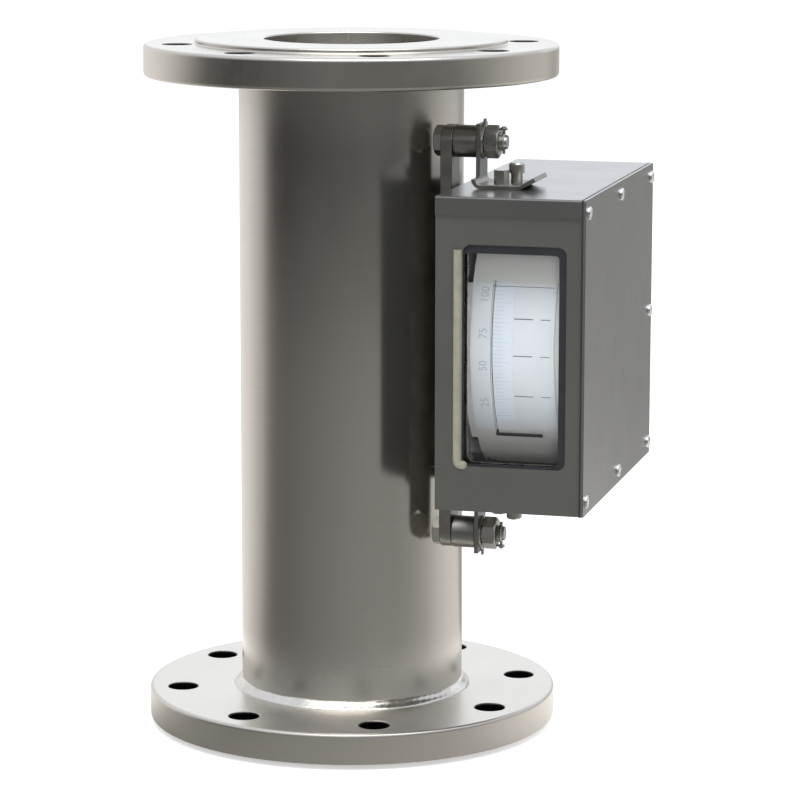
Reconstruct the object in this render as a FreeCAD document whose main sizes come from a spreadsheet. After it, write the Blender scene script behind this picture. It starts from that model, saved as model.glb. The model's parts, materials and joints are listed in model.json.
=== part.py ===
import FreeCAD, Part
import math
import os
from types import SimpleNamespace

import Sketcher

# Metal tube rotameter: a flow meter whose float rises in a cone inside a flanged metal tube.
# A magnet in the float turns a magnet in the case beside the tube, and that one swings a pointer
# up a curved dial. Origin: centre of the inlet flange's face. +Z is up along the tube, +X points
# from the tube to the case, and the window looks along -Y.

# Driving dimensions, in millimetres and degrees
DIMENSIONS = {
    # Clearances
    "fixed_fit": 0.1,
    "running_fit": 0.05,
    "slip_fit": 0.3,
    "stop_gap": 0.3,
    # Flanges and tube
    "face_to_face": 420,
    "flange_diameter": 250,
    "flange_rim": 19,
    "flange_edge": 1.2,
    "raised_face": 3,
    "raised_face_diameter": 188,
    "bolt_circle": 210,
    "bolt_hole": 18,
    "bolt_holes": 8,
    "bore": 106,
    "tube_diameter": 136,
    "tube_wall": 4,
    "socket_depth": 10,
    "weld_leg": 5,
    # Metering cone
    "cone_low": 102,
    "cone_high": 318,
    "cone_sleeve_bore": 118,
    "throat_diameter": 88,
    "throat_height": 200,
    "cone_exit_diameter": 108,
    "cone_exit_height": 275,
    "cone_approach": 14,
    # Guides, bushes and retaining rings
    "guide_rim_height": 10,
    "guide_rim_width": 6,
    "guide_arm_width": 7,
    "guide_arm_height": 8,
    "guide_hub_diameter": 28,
    "guide_hub_reach": 4,
    "guide_hub_height": 20,
    "guide_arms": 3,
    "bush_diameter": 18,
    "bush_head_diameter": 25,
    "bush_head": 2,
    "retaining_height": 3,
    "retaining_width": 4.5,
    "retaining_depth": 1.5,
    "retaining_sweep": 335,
    "stop_disc_diameter": 56,
    "stop_disc": 6,
    "stop_rim_height": 8,
    "stop_buffer": 3,
    "stop_buffer_diameter": 20,
    "stop_plug_diameter": 8,
    # Float
    "float_lift": 60,
    "rod_diameter": 12,
    "rod_shoulder_diameter": 16,
    "rod_low": 26,
    "rod_chamfer": 1,
    "rod_buffer": 6,
    "rod_buffer_diameter": 22,
    "float_edge_gap": 0.7,
    "float_nose_diameter": 24,
    "float_cone": 33,
    "float_land": 3,
    "capsule_diameter": 48,
    "capsule_wall": 5,
    "capsule_height": 28,
    "undercut": 6,
    "float_magnet_height": 20,
    "cap_plate": 6,
    "cap_edge": 2,
    "float_nut_flats": 19,
    "float_nut_height": 8,
    # Case
    "case_start": 78,
    "case_end": 166,
    "case_width": 208,
    "case_low": 155.5,
    "case_high": 338.5,
    "sheet": 1.5,
    "bend": 1.4,
    "lip": 11,
    "rim_flange": 14,
    "gasket_sheet": 1,
    "cover_corner": 1,
    "cover_screw_inset": 8,
    "cover_screw": 5,
    "cover_screw_head": 8.6,
    "cover_screw_head_height": 2.6,
    "cover_screw_length": 12,
    "cover_screw_hole": 5.6,
    # Window
    "window_start": 94,
    "window_end": 154.8,
    "window_low": 182,
    "window_high": 311,
    "window_corner": 5,
    "window_overlap": 1.5,
    "gasket_lip_left": 0.5,
    "gasket_lip_right": 4.5,
    "gasket_lip_top": 5,
    "gasket_lip_bottom": 1,
    "gasket_thickness": 2,
    "glass": 4,
    "clamp_sheet": 1.5,
    "clamp_margin": 6.2,
    "clamp_side_margin": 2.6,
    "stud_diameter": 2.5,
    "stud_offset": 2.6,
    "clamp_nut_flats": 5,
    "clamp_nut_height": 2.4,
    "seal_start": 88.8,
    "seal_width": 5,
    "seal_proud": 2.2,
    "seal_low": 180.5,
    "seal_high": 308,
    "seal_hook": 3.2,
    "seal_hook_height": 4.4,
    "seal_corner": 4,
    "seal_hook_radius": 2,
    # Dial and movement
    "spindle_height": 249,
    "spindle_diameter": 4,
    "dial_radius": 85,
    "dial_sheet": 1,
    "dial_start": 94.5,
    "dial_end": 151,
    "dial_half_angle": 62,
    "scale_sheet": 0.4,
    "scale_start": 99,
    "scale_end": 144.5,
    "scale_up_angle": 25.8,
    "scale_down_angle": 36,
    "slot_middle": 107.5,
    "slot_width": 1.6,
    "cut_margin": 1,
    "slot_up_angle": 27,
    "slot_down_angle": 41,
    "post_depth": 8,
    "post_inner_angle": 55.5,
    "dial_screw_angle": 58.7,
    "dial_screw": 3,
    "dial_screw_head": 5.4,
    "dial_screw_inset": 9,
    "plate_sheet": 2,
    "plate_gap": 4.5,
    "plate_rear": 45,
    "plate_low": 174,
    "plate_high": 324,
    "plate_front": -52,
    "cheek_front": -78,
    "cheek_low": 190,
    "cheek_high": 286,
    "plate_corner": 3,
    "standoff_diameter": 8,
    "standoff_across": 40,
    "standoff_up": 60,
    "machine_screw": 4,
    "machine_screw_head": 7,
    "machine_screw_head_height": 2.6,
    "screw_chamfer": 0.8,
    "bridge_start": 120,
    "bridge_front": -24,
    "bridge_rear": 44,
    "bridge_half_height": 50,
    "pillar_diameter": 7,
    "pillar_front": -16,
    "pillar_rear": 36,
    "pillar_up": 42,
    "pillar_thread": 10,
    "bearing_diameter": 10,
    "bearing_flange": 13,
    "bearing_lip": 1,
    # Pointer
    "pointer_rest_angle": 38,
    "pointer_radius": 87.2,
    "blade_thickness": 0.8,
    "magnet_corner": 2,
    "blade_width": 1.8,
    "blade_end": 134.6,
    "arm_sheet": 1,
    "arm_root_width": 7,
    "arm_eye_diameter": 18,
    "arm_tail": 31,
    "hub_diameter": 10,
    "hub_shoulder": 16,
    "hub_start": 100,
    "hub_arm_side": 108,
    "hub_disc_side": 113,
    "hub_end": 117.5,
    "counterweight_diameter": 12,
    "counterweight_length": 7,
    "counterweight_offset": 25,
    "damping_disc_diameter": 56,
    "damping_disc_sheet": 1,
    "damping_gap": 1.2,
    "damping_magnet_front": 18,
    "damping_magnet_rear": 38,
    "damping_magnet_half_height": 8,
    "damping_magnet_slot": 31,
    "damping_magnet_start": 110,
    "follower_start": 90,
    "follower_plate": 2,
    "follower_plate_diameter": 20,
    "follower_length": 40,
    "follower_height": 14,
    "follower_depth": 7,
    "follower_hub_end": 99,
    # Mounting plate and brackets
    "mount_plate": 7,
    "ear_front": -52,
    "ear_rear": -32,
    "ear_reach": 34.5,
    "ear_corner": 9,
    "mount_rear": 40,
    "mount_inset": 9,
    "mount_weld_start": 10,
    "mount_weld_end": 24,
    "bracket_bolt": 10,
    "bracket_bolt_reach": 25.5,
    "bolt_hole_gap": 0.5,
    "boss_diameter": 19,
    "boss_length": 14.5,
    "bracket_sheet": 2.5,
    "bracket_reach": 36.5,
    "bracket_foot_front": -64,
    "bracket_foot_end": 118.5,
    "bracket_bend": 3,
    "tab_rise": 5,
    "tab_run": 9.5,
    "bolt_head_flats": 16,
    "bolt_head_height": 5,
    "washer_thickness": 1.4,
    "washer_diameter": 20,
    "washer_tab_width": 3.5,
    "washer_tab_reach": 13.5,
    "nut_flats": 17,
    "nut_height": 8.4,
    "bolt_tip": 4.5,
    "cotter_diameter": 1.8,
    "cotter_length": 14,
    "cotter_eye": 2.2,
    "foot_screw": 5,
    "foot_nut_at": 105.5,
    "foot_nut_across": -54,
    "foot_nut_flats": 8,
    "foot_nut_height": 8,
    "foot_screw_at": 113.4,
    "foot_screw_across": -49,
    "foot_screw_head": 9.2,
    "foot_screw_head_height": 12,
    "foot_screw_neck": 7,
    "foot_shank": 8,
}

doc = FreeCAD.newDocument("rotameter")
sheet = doc.addObject("Spreadsheet::Sheet", "Dims")
for row, (alias, amount) in enumerate(DIMENSIONS.items(), start=1):
    sheet.set(f"A{row}", alias)
    sheet.set(f"B{row}", str(amount))
    sheet.setAlias(f"B{row}", alias)
doc.recompute()


class Size:
    """A length or angle that knows its number and its formula over the sheet's cells."""

    def __init__(self, number, formula):
        self.number = float(number)
        self.formula = formula

    def __add__(self, other):
        return joined(self, "+", other)

    def __radd__(self, other):
        return joined(other, "+", self)

    def __sub__(self, other):
        return joined(self, "-", other)

    def __rsub__(self, other):
        return joined(other, "-", self)

    def __mul__(self, other):
        return joined(self, "*", other)

    def __rmul__(self, other):
        return joined(other, "*", self)

    def __truediv__(self, other):
        return joined(self, "/", other)

    def __rtruediv__(self, other):
        return joined(other, "/", self)

    def __neg__(self):
        return joined(0, "-", self)


def number(size):
    return size.number if isinstance(size, Size) else float(size)


def formula(size):
    return size.formula if isinstance(size, Size) else str(size)


def joined(left, sign, right):
    a, b = number(left), number(right)
    result = {"+": a + b, "-": a - b, "*": a * b, "/": a / b if b else 0}[sign]
    return Size(result, f"({formula(left)} {sign} {formula(right)})")


def cosine(angle):
    return Size(math.cos(math.radians(number(angle))), f"cos({formula(angle)} * 1 deg)")


def sine(angle):
    return Size(math.sin(math.radians(number(angle))), f"sin({formula(angle)} * 1 deg)")


def bind(item, prop, size):
    """Give a property its number, and tie it to the sheet."""
    if isinstance(size, Size):
        item.setExpression(prop, size.formula)
    else:
        setattr(item, prop, size)


dim = SimpleNamespace(**{name: Size(sheet.get(name), f"Dims.{name}") for name in DIMENSIONS})
vector = FreeCAD.Vector
nodes = []


# Helpers that draw sketches and make features

def origin_of(body, role):
    return next(item for item in body.Origin.OriginFeatures if item.Role == role)


def new_body(label):
    body = doc.addObject("PartDesign::Body", label)
    body.Label = label
    return body


def node(item):
    nodes.append(item)
    return item


def tie_point(sketch, geometry, end, across, up):
    """Hold one point of a sketch at its two coordinates."""
    for kind, size, axis in (("DistanceX", across, -2), ("DistanceY", up, -1)):
        if not isinstance(size, Size) and size == 0:
            sketch.addConstraint(Sketcher.Constraint("PointOnObject", geometry, end, axis))
            continue
        index = sketch.addConstraint(Sketcher.Constraint(kind, -1, 1, geometry, end, number(size)))
        bind_constraint(sketch, index, size)


def bind_constraint(sketch, index, size):
    if isinstance(size, Size):
        sketch.setExpression(f"Constraints[{index}]", size.formula)


def toward(start, target):
    length = math.hypot(target[0] - start[0], target[1] - start[1])
    return (target[0] - start[0]) / length, (target[1] - start[1]) / length


def corner_arc(before, corner, after, radius):
    """The two ends and the middle of the arc that rounds a corner."""
    back, ahead = toward(corner, before), toward(corner, after)
    half = math.acos(back[0] * ahead[0] + back[1] * ahead[1]) / 2
    cut = radius / math.tan(half)
    middle = toward((0, 0), (back[0] + ahead[0], back[1] + ahead[1]))
    depth = radius / math.sin(half) - radius
    start = (corner[0] + back[0] * cut, corner[1] + back[1] * cut)
    crown = (corner[0] + middle[0] * depth, corner[1] + middle[1] * depth)
    end = (corner[0] + ahead[0] * cut, corner[1] + ahead[1] * cut)
    return start, crown, end


def draw_outline(sketch, points):
    """A closed outline; a point is (across, up), or (across, up, radius) where it is rounded."""
    count = len(points)
    corners = [(number(point[0]), number(point[1])) for point in points]
    arcs = {}
    for i, point in enumerate(points):
        if len(point) == 3:
            arcs[i] = corner_arc(corners[i - 1], corners[i], corners[(i + 1) % count], number(point[2]))
    lines = []
    for i in range(count):
        start = arcs[i][2] if i in arcs else corners[i]
        after = (i + 1) % count
        end = arcs[after][0] if after in arcs else corners[after]
        lines.append(sketch.addGeometry(Part.LineSegment(vector(*start, 0), vector(*end, 0)), False))
    for i, point in enumerate(points):
        before, after = lines[i - 1], lines[i]
        if i not in arcs:
            sketch.addConstraint(Sketcher.Constraint("Coincident", before, 2, after, 1))
            tie_point(sketch, after, 1, point[0], point[1])
            continue
        start, crown, end = (vector(*place, 0) for place in arcs[i])
        arc = sketch.addGeometry(Part.Arc(start, crown, end), False)
        first = 1 if sketch.getPoint(arc, 1).distanceToPoint(start) < 1e-6 else 2
        sketch.addConstraint(Sketcher.Constraint("Tangent", before, 2, arc, first))
        sketch.addConstraint(Sketcher.Constraint("Tangent", arc, 3 - first, after, 1))
        index = sketch.addConstraint(Sketcher.Constraint("Radius", arc, number(point[2])))
        bind_constraint(sketch, index, point[2])
        tip = sketch.addGeometry(Part.Point(vector(*corners[i], 0)), True)
        sketch.addConstraint(Sketcher.Constraint("PointOnObject", tip, 1, before))
        sketch.addConstraint(Sketcher.Constraint("PointOnObject", tip, 1, after))
        tie_point(sketch, tip, 1, point[0], point[1])


def draw_circle(sketch, across, up, radius):
    centre = vector(number(across), number(up), 0)
    circle = sketch.addGeometry(Part.Circle(centre, vector(0, 0, 1), number(radius)), False)
    index = sketch.addConstraint(Sketcher.Constraint("Radius", circle, number(radius)))
    bind_constraint(sketch, index, radius)
    tie_point(sketch, circle, 3, across, up)


def new_sketch(body, plane, outlines=(), circles=()):
    sketch = body.newObject("Sketcher::SketchObject", f"{body.Label}_sketch")
    sketch.AttachmentSupport = (origin_of(body, plane), "")
    sketch.MapMode = "FlatFace"
    for points in outlines:
        draw_outline(sketch, points)
    for circle in circles:
        draw_circle(sketch, *circle)
    return sketch


def extrude(body, kind, plane, low, high, outlines=(), circles=()):
    """Add or remove material between two places along the plane's own axis."""
    sketch = new_sketch(body, plane, outlines, circles)
    start = -high if plane == "XZ_Plane" else low
    if isinstance(start, Size):
        sketch.setExpression("AttachmentOffset.Base.z", start.formula)
    else:
        sketch.AttachmentOffset = FreeCAD.Placement(vector(0, 0, start), FreeCAD.Rotation())
    feature = body.newObject(f"PartDesign::{kind}", f"{body.Label}_{kind.lower()}")
    feature.Profile = sketch
    bind(feature, "Length", high - low)
    if kind == "Pocket":
        feature.Reversed = True
    body.Tip = feature
    return feature


def pad(body, plane, low, high, outlines=(), circles=()):
    return extrude(body, "Pad", plane, low, high, outlines, circles)


def pocket(body, plane, low, high, outlines=(), circles=()):
    return extrude(body, "Pocket", plane, low, high, outlines, circles)


def turn(body, profile, about="Z", sweep=360, plane="XZ_Plane", kind="Revolution", down=None):
    """Turn a profile about Z, given as (radius, height), or about X, given as (along, radius)."""
    sketch = new_sketch(body, plane, [profile])
    feature = body.newObject(f"PartDesign::{kind}", f"{body.Label}_{kind.lower()}")
    feature.Profile = sketch
    feature.ReferenceAxis = (sketch, ["V_Axis" if about == "Z" else "H_Axis"])
    if down is not None:
        feature.Type = "TwoAngles"
        bind(feature, "Angle2", down)
    bind(feature, "Angle", sweep)
    body.Tip = feature
    return feature


def repeat_round(body, feature, count):
    """Repeat a feature evenly about Z."""
    pattern = body.newObject("PartDesign::PolarPattern", f"{body.Label}_pattern")
    pattern.Originals = [feature]
    pattern.Axis = (origin_of(body, "Z_Axis"), [""])
    pattern.Angle = 360
    bind(pattern, "Occurrences", count)
    body.Tip = pattern
    return pattern


def place(item, across=0, back=0, up=0, tilt=None):
    """Move an item, and turn it about X by the tilt."""
    if tilt is not None:
        item.Placement = FreeCAD.Placement(vector(), FreeCAD.Rotation(vector(1, 0, 0), number(tilt)))
        item.setExpression("Placement.Rotation.Angle", formula(tilt))
    for axis, size in (("x", across), ("y", back), ("z", up)):
        if isinstance(size, Size):
            item.setExpression(f"Placement.Base.{axis}", size.formula)
    return item


def group(label, items):
    """Separate equal solids kept as one named piece."""
    compound = doc.addObject("Part::Compound", label)
    compound.Label = label
    compound.Links = items
    return node(compound)


def rectangle(left, right, low, high, corner=None):
    corners = [(left, low), (right, low), (right, high), (left, high)]
    return corners if corner is None else [(across, up, corner) for across, up in corners]


def hexagon(flats, first=0):
    """A hexagon about the origin, its first corner at the given angle."""
    radius = flats / 2 / cosine(30)
    return [(radius * cosine(first + 60 * i), radius * sine(first + 60 * i)) for i in range(6)]


def ring(inner, outer, low, high):
    return rectangle(inner, outer, low, high)


# Places that several pieces share
rim_top = dim.raised_face + dim.flange_rim
tube_low = rim_top - dim.socket_depth
tube_high = dim.face_to_face - tube_low
tube_radius = dim.tube_diameter / 2
tube_bore = tube_radius - dim.tube_wall
liner_radius = tube_bore - dim.slip_fit
rod_radius = dim.rod_diameter / 2
rod_bore = rod_radius + dim.fixed_fit
bush_bore = rod_radius + dim.running_fit
shell_end = dim.case_end - dim.sheet - dim.gasket_sheet
panel_front = -dim.case_width / 2 + dim.sheet
panel_back = panel_front + dim.sheet
case_rear = dim.case_width / 2
bolt_across = (dim.ear_front + dim.ear_rear) / 2
mount_start = tube_radius
mount_end = mount_start + dim.mount_plate
leg_start = mount_end + dim.boss_length
leg_end = leg_start + dim.bracket_sheet
plate_start = dim.case_start + dim.sheet + dim.plate_gap
plate_end = plate_start + dim.plate_sheet
bridge_end = dim.bridge_start + dim.plate_sheet


# Pressure parts

def make_flange(label, face, inward):
    """A flange with a raised face, a socket for the tube and a ring of bolt holes."""
    body = new_body(label)
    rim_radius = dim.flange_diameter / 2
    edge = dim.flange_edge
    turn(body, [
        (dim.bore / 2, face),
        (dim.raised_face_diameter / 2, face),
        (dim.raised_face_diameter / 2, face + inward * dim.raised_face),
        (rim_radius - edge, face + inward * dim.raised_face),
        (rim_radius, face + inward * (dim.raised_face + edge)),
        (rim_radius, face + inward * (rim_top - edge)),
        (rim_radius - edge, face + inward * rim_top),
        (tube_radius + dim.slip_fit, face + inward * rim_top),
        (tube_radius + dim.slip_fit, face + inward * tube_low),
        (dim.bore / 2, face + inward * tube_low),
    ])
    half_step = 180 / dim.bolt_holes
    low, high = sorted((face, face + inward * rim_top), key=number)
    hole = pocket(body, "XY_Plane", low, high, circles=[(
        dim.bolt_circle / 2 * cosine(half_step), dim.bolt_circle / 2 * sine(half_step), dim.bolt_hole / 2)])
    repeat_round(body, hole, dim.bolt_holes)
    return node(body)


def make_tube():
    body = new_body("metering_tube")
    turn(body, ring(tube_bore, tube_radius, tube_low, tube_high))
    for low in retaining_lows:
        turn(body, ring(tube_bore - dim.slip_fit, tube_bore + dim.retaining_depth,
                        low, low + dim.retaining_height), kind="Groove")
    return node(body)


def make_tube_weld(label, foot, up):
    """A fillet weld between the tube and the flange."""
    body = new_body(label)
    inner = tube_radius + dim.fixed_fit
    turn(body, [(inner, foot), (inner + dim.weld_leg, foot), (inner, foot + up * dim.weld_leg)])
    return body


guide_low = dim.cone_low - dim.guide_rim_height
stop_shoulder = dim.face_to_face - tube_low
retaining_lows = (
    guide_low - dim.retaining_height,
    dim.cone_high + dim.guide_rim_height,
    stop_shoulder - dim.stop_rim_height - dim.retaining_height,
)
lower_hub_low = guide_low - dim.guide_hub_reach
upper_hub_low = dim.cone_high - dim.guide_hub_reach
make_flange("inlet_flange", Size(0, "0"), 1)
make_flange("outlet_flange", dim.face_to_face, -1)
make_tube()
group("tube_welds", [
    make_tube_weld("inlet_weld", rim_top, 1),
    make_tube_weld("outlet_weld", dim.face_to_face - rim_top, -1),
])


# Metering cone and its guides

def make_metering_cone():
    """A turned liner that narrows to a throat and opens again as the measuring cone."""
    body = new_body("metering_cone")
    sleeve = dim.cone_sleeve_bore / 2
    turn(body, [
        (sleeve, dim.cone_low),
        (liner_radius, dim.cone_low),
        (liner_radius, dim.cone_high),
        (sleeve, dim.cone_high),
        (sleeve, dim.cone_exit_height + dim.cone_approach),
        (dim.cone_exit_diameter / 2, dim.cone_exit_height),
        (dim.throat_diameter / 2, dim.throat_height),
        (sleeve, dim.throat_height - dim.cone_approach),
    ])
    return node(body)


def make_spider(label, rim_low, rim_height, arm_low, arm_height, hub_low, hub_height, hub_radius, bore):
    """A rim, a few arms and a hub, milled from one disc."""
    body = new_body(label)
    rim_inner = liner_radius - dim.guide_rim_width
    arm = pad(body, "XY_Plane", arm_low, arm_low + arm_height, [rectangle(
        0, rim_inner + dim.slip_fit, -dim.guide_arm_width / 2, dim.guide_arm_width / 2)])
    repeat_round(body, arm, dim.guide_arms)
    turn(body, ring(rim_inner, liner_radius, rim_low, rim_low + rim_height))
    pad(body, "XY_Plane", hub_low, hub_low + hub_height, circles=[(0, 0, hub_radius)])
    pocket(body, "XY_Plane", hub_low, hub_low + hub_height, circles=[(0, 0, bore)])
    return node(body)


def make_bush(label, hub_low, head_at, head_away):
    """A plain bush with a head that lies on the hub."""
    body = new_body(label)
    outer, head = dim.bush_diameter / 2 - dim.fixed_fit, dim.bush_head_diameter / 2
    pad(body, "XY_Plane", hub_low, hub_low + dim.guide_hub_height, circles=[(0, 0, outer)])
    low, high = sorted((head_at, head_at + head_away * dim.bush_head), key=number)
    pad(body, "XY_Plane", low, high, circles=[(0, 0, head)])
    bore_low, bore_high = sorted((hub_low, hub_low + dim.guide_hub_height), key=number)
    pocket(body, "XY_Plane", bore_low - dim.bush_head, bore_high + dim.bush_head, circles=[(0, 0, bush_bore)])
    return node(body)


def make_retaining_ring(index, low):
    """A snap ring with a gap, in its groove."""
    body = new_body(f"retaining_ring_{index}")
    outer = tube_bore + dim.retaining_depth - dim.slip_fit
    band = ring(outer - dim.retaining_width, outer, low, low + dim.retaining_height)
    turn(body, band, sweep=dim.retaining_sweep)
    return body


hub_radius = dim.guide_hub_diameter / 2
arm_inset = (dim.guide_rim_height - dim.guide_arm_height) / 2
make_metering_cone()
make_spider("lower_guide", guide_low, dim.guide_rim_height, guide_low + arm_inset, dim.guide_arm_height,
            lower_hub_low, dim.guide_hub_height, hub_radius, dim.bush_diameter / 2)
make_spider("upper_guide", dim.cone_high, dim.guide_rim_height, dim.cone_high + arm_inset, dim.guide_arm_height,
            upper_hub_low, dim.guide_hub_height, hub_radius, dim.bush_diameter / 2)
lower_hub_top = lower_hub_low + dim.guide_hub_height
make_bush("lower_bush", lower_hub_low, lower_hub_top, 1)
make_bush("upper_bush", upper_hub_low, upper_hub_low, -1)
group("retaining_rings", [make_retaining_ring(i, low) for i, low in enumerate(retaining_lows, start=1)])

# Stop across the outlet, which ends the float's lift
stop_low = stop_shoulder - dim.stop_rim_height
make_spider("outlet_stop", stop_low, dim.stop_rim_height, stop_low, dim.stop_disc,
            stop_low, dim.stop_disc, dim.stop_disc_diameter / 2, dim.stop_plug_diameter / 2)
buffer = new_body("stop_buffer")
pad(buffer, "XY_Plane", stop_low - dim.stop_buffer, stop_low, circles=[(0, 0, dim.stop_buffer_diameter / 2)])
pad(buffer, "XY_Plane", stop_low, stop_low + dim.stop_disc,
    circles=[(0, 0, dim.stop_plug_diameter / 2 - dim.fixed_fit)])
node(buffer)


# Float: everything on the rod

float_rest = lower_hub_top + dim.bush_head + dim.stop_gap
shoulder_low = float_rest + dim.rod_buffer
edge_high = dim.throat_height + dim.float_land - dim.float_edge_gap
edge_low = dim.throat_height - dim.float_edge_gap
nose = edge_low - dim.float_cone
rod_top = stop_low - dim.stop_buffer - dim.stop_gap - dim.float_lift
magnet_low = dim.spindle_height - (dim.float_lift + dim.float_magnet_height) / 2
capsule_top = magnet_low + dim.capsule_height
pocket_radius = dim.capsule_diameter / 2 - dim.capsule_wall


def make_float():
    shoulder = dim.rod_shoulder_diameter / 2
    chamfer = dim.rod_chamfer
    rod = new_body("float_rod")
    turn(rod, [
        (0, dim.rod_low), (rod_radius - chamfer, dim.rod_low), (rod_radius, dim.rod_low + chamfer),
        (rod_radius, shoulder_low), (shoulder, shoulder_low), (shoulder, nose), (rod_radius, nose),
        (rod_radius, rod_top - chamfer), (rod_radius - chamfer, rod_top), (0, rod_top),
    ])
    node(rod)
    rest = new_body("rod_buffer")
    turn(rest, ring(rod_bore, dim.rod_buffer_diameter / 2, float_rest, shoulder_low))
    node(rest)
    plug = new_body("float_body")
    edge_radius = dim.throat_diameter / 2 - dim.float_edge_gap
    capsule = dim.capsule_diameter / 2
    turn(plug, [
        (rod_bore, nose), (dim.float_nose_diameter / 2, nose), (edge_radius, edge_low),
        (edge_radius, edge_high), (capsule, edge_high + dim.undercut), (capsule, capsule_top),
        (pocket_radius, capsule_top), (pocket_radius, magnet_low), (rod_bore, magnet_low),
    ])
    node(plug)
    magnet = new_body("float_magnet")
    magnet_high = magnet_low + dim.float_magnet_height
    turn(magnet, ring(rod_bore, pocket_radius - dim.slip_fit, magnet_low, magnet_high))
    node(magnet)
    cap = new_body("float_cap")
    cap_high = capsule_top + dim.cap_plate
    turn(cap, [
        (rod_bore, magnet_high), (pocket_radius - dim.fixed_fit, magnet_high),
        (pocket_radius - dim.fixed_fit, capsule_top), (capsule, capsule_top),
        (capsule, cap_high - dim.cap_edge), (capsule - dim.cap_edge, cap_high), (rod_bore, cap_high),
    ])
    node(cap)
    nut = new_body("float_nut")
    nut_high = cap_high + dim.float_nut_height
    pad(nut, "XY_Plane", cap_high, nut_high, [hexagon(dim.float_nut_flats)], [(0, 0, rod_bore)])
    node(nut)


make_float()


# Mounting plate on the tube, and the brackets that carry the case

def make_mounting_plate():
    body = new_body("mounting_plate")
    low, high = dim.case_low + dim.mount_inset, dim.case_high - dim.mount_inset
    ear_low, ear_high = dim.case_low - dim.ear_reach, dim.case_high + dim.ear_reach
    pad(body, "YZ_Plane", mount_start, mount_end, [[
        (dim.ear_front, ear_low, dim.ear_corner), (dim.ear_rear, ear_low), (dim.ear_rear, low),
        (dim.mount_rear, low), (dim.mount_rear, high), (dim.ear_rear, high),
        (dim.ear_rear, ear_high), (dim.ear_front, ear_high, dim.ear_corner),
    ]])
    pocket(body, "YZ_Plane", mount_start, mount_end, circles=[
        (bolt_across, height, (dim.bracket_bolt + dim.bolt_hole_gap) / 2) for height in bolt_heights])
    return node(body)


def make_plate_weld(label, start, end):
    """A weld that fills the wedge between the plate's back and the round tube."""
    bar = doc.addObject("Part::Box", f"{label}_bar")
    bind(bar, "Length", dim.mount_plate)
    bind(bar, "Width", end - start)
    bind(bar, "Height", dim.case_high - dim.case_low - 2 * dim.mount_inset)
    place(bar, mount_start - dim.mount_plate, start, dim.case_low + dim.mount_inset)
    round_tube = doc.addObject("Part::Cylinder", f"{label}_tube")
    bind(round_tube, "Radius", tube_radius + dim.running_fit)
    bind(round_tube, "Height", dim.face_to_face)
    wedge = doc.addObject("Part::Cut", label)
    wedge.Base = bar
    wedge.Tool = round_tube
    return wedge


def make_boss(label, height):
    body = new_body(label)
    bore = (dim.bracket_bolt + dim.bolt_hole_gap) / 2
    turn(body, ring(mount_end, leg_start, bore, dim.boss_diameter / 2), "X")
    return place(body, 0, bolt_across, height)


def make_bracket(label, case_face, away):
    """A bent strap: a leg on the boss, a foot on the case and a tab bent up at its end."""
    body = new_body(label)
    thick, run, rise = dim.bracket_sheet, dim.tab_run, dim.tab_rise
    foot = case_face + away * thick
    pad(body, "XZ_Plane", dim.bracket_foot_front, dim.ear_rear, [[
        (leg_start, case_face, dim.bracket_bend + thick), (dim.bracket_foot_end, case_face),
        (dim.bracket_foot_end + run, case_face + away * rise),
        (dim.bracket_foot_end + run - thick / 2, case_face + away * (rise + thick)),
        (dim.bracket_foot_end - thick / 4, foot), (leg_end, foot, dim.bracket_bend),
        (leg_end, case_face + away * dim.bracket_reach), (leg_start, case_face + away * dim.bracket_reach),
    ]])
    beyond = case_face + away * (dim.bracket_reach + thick)
    above_foot = case_face + away * (thick + dim.bracket_bend)
    low, high = sorted((above_foot, beyond), key=number)
    pocket(body, "XZ_Plane", dim.bracket_foot_front, dim.ear_front, [rectangle(
        leg_start - thick, leg_end + dim.bracket_bend, low, high)])
    bolt_height = case_face + away * dim.bracket_bolt_reach
    pocket(body, "YZ_Plane", leg_start, leg_end, circles=[
        (bolt_across, bolt_height, (dim.bracket_bolt + dim.bolt_hole_gap) / 2)])
    low, high = sorted((case_face, foot), key=number)
    pocket(body, "XY_Plane", low, high, circles=foot_holes())
    return node(body)


def foot_holes():
    radius = (dim.foot_screw + dim.bolt_hole_gap) / 2
    return [
        (dim.foot_nut_at, dim.foot_nut_across, radius),
        (dim.foot_screw_at, dim.foot_screw_across, radius),
    ]


def make_bracket_bolt(index, height):
    body = new_body(f"bracket_bolt_{index}")
    tip = washer_end + dim.nut_height + dim.bolt_tip
    pad(body, "YZ_Plane", mount_start - dim.bolt_head_height, mount_start, [hexagon(dim.bolt_head_flats)])
    pad(body, "YZ_Plane", mount_start, tip, circles=[(0, 0, dim.bracket_bolt / 2)])
    pocket(body, "XY_Plane", -dim.bracket_bolt, dim.bracket_bolt, circles=[
        (tip - dim.bolt_tip / 2, 0, dim.cotter_diameter / 2 + dim.fixed_fit)])
    return place(body, 0, bolt_across, height)


def make_washer(index, height, away):
    """A tab washer: its tab stands past the end of the leg."""
    body = new_body(f"tab_washer_{index}")
    half = dim.washer_tab_width / 2
    low, high = sorted((away * dim.washer_diameter / 4, away * dim.washer_tab_reach), key=number)
    pad(body, "YZ_Plane", leg_end, washer_end, circles=[(0, 0, dim.washer_diameter / 2)])
    pad(body, "YZ_Plane", leg_end, washer_end, [rectangle(-half, half, low, high)])
    pocket(body, "YZ_Plane", leg_end, washer_end, circles=[
        (0, 0, (dim.bracket_bolt + dim.bolt_hole_gap) / 2)])
    return place(body, 0, bolt_across, height)


def make_nut(index, height):
    body = new_body(f"bracket_nut_{index}")
    pad(body, "YZ_Plane", washer_end, washer_end + dim.nut_height, [hexagon(dim.nut_flats)],
        [(0, 0, dim.bracket_bolt / 2 + dim.fixed_fit)])
    return place(body, 0, bolt_across, height)


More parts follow.
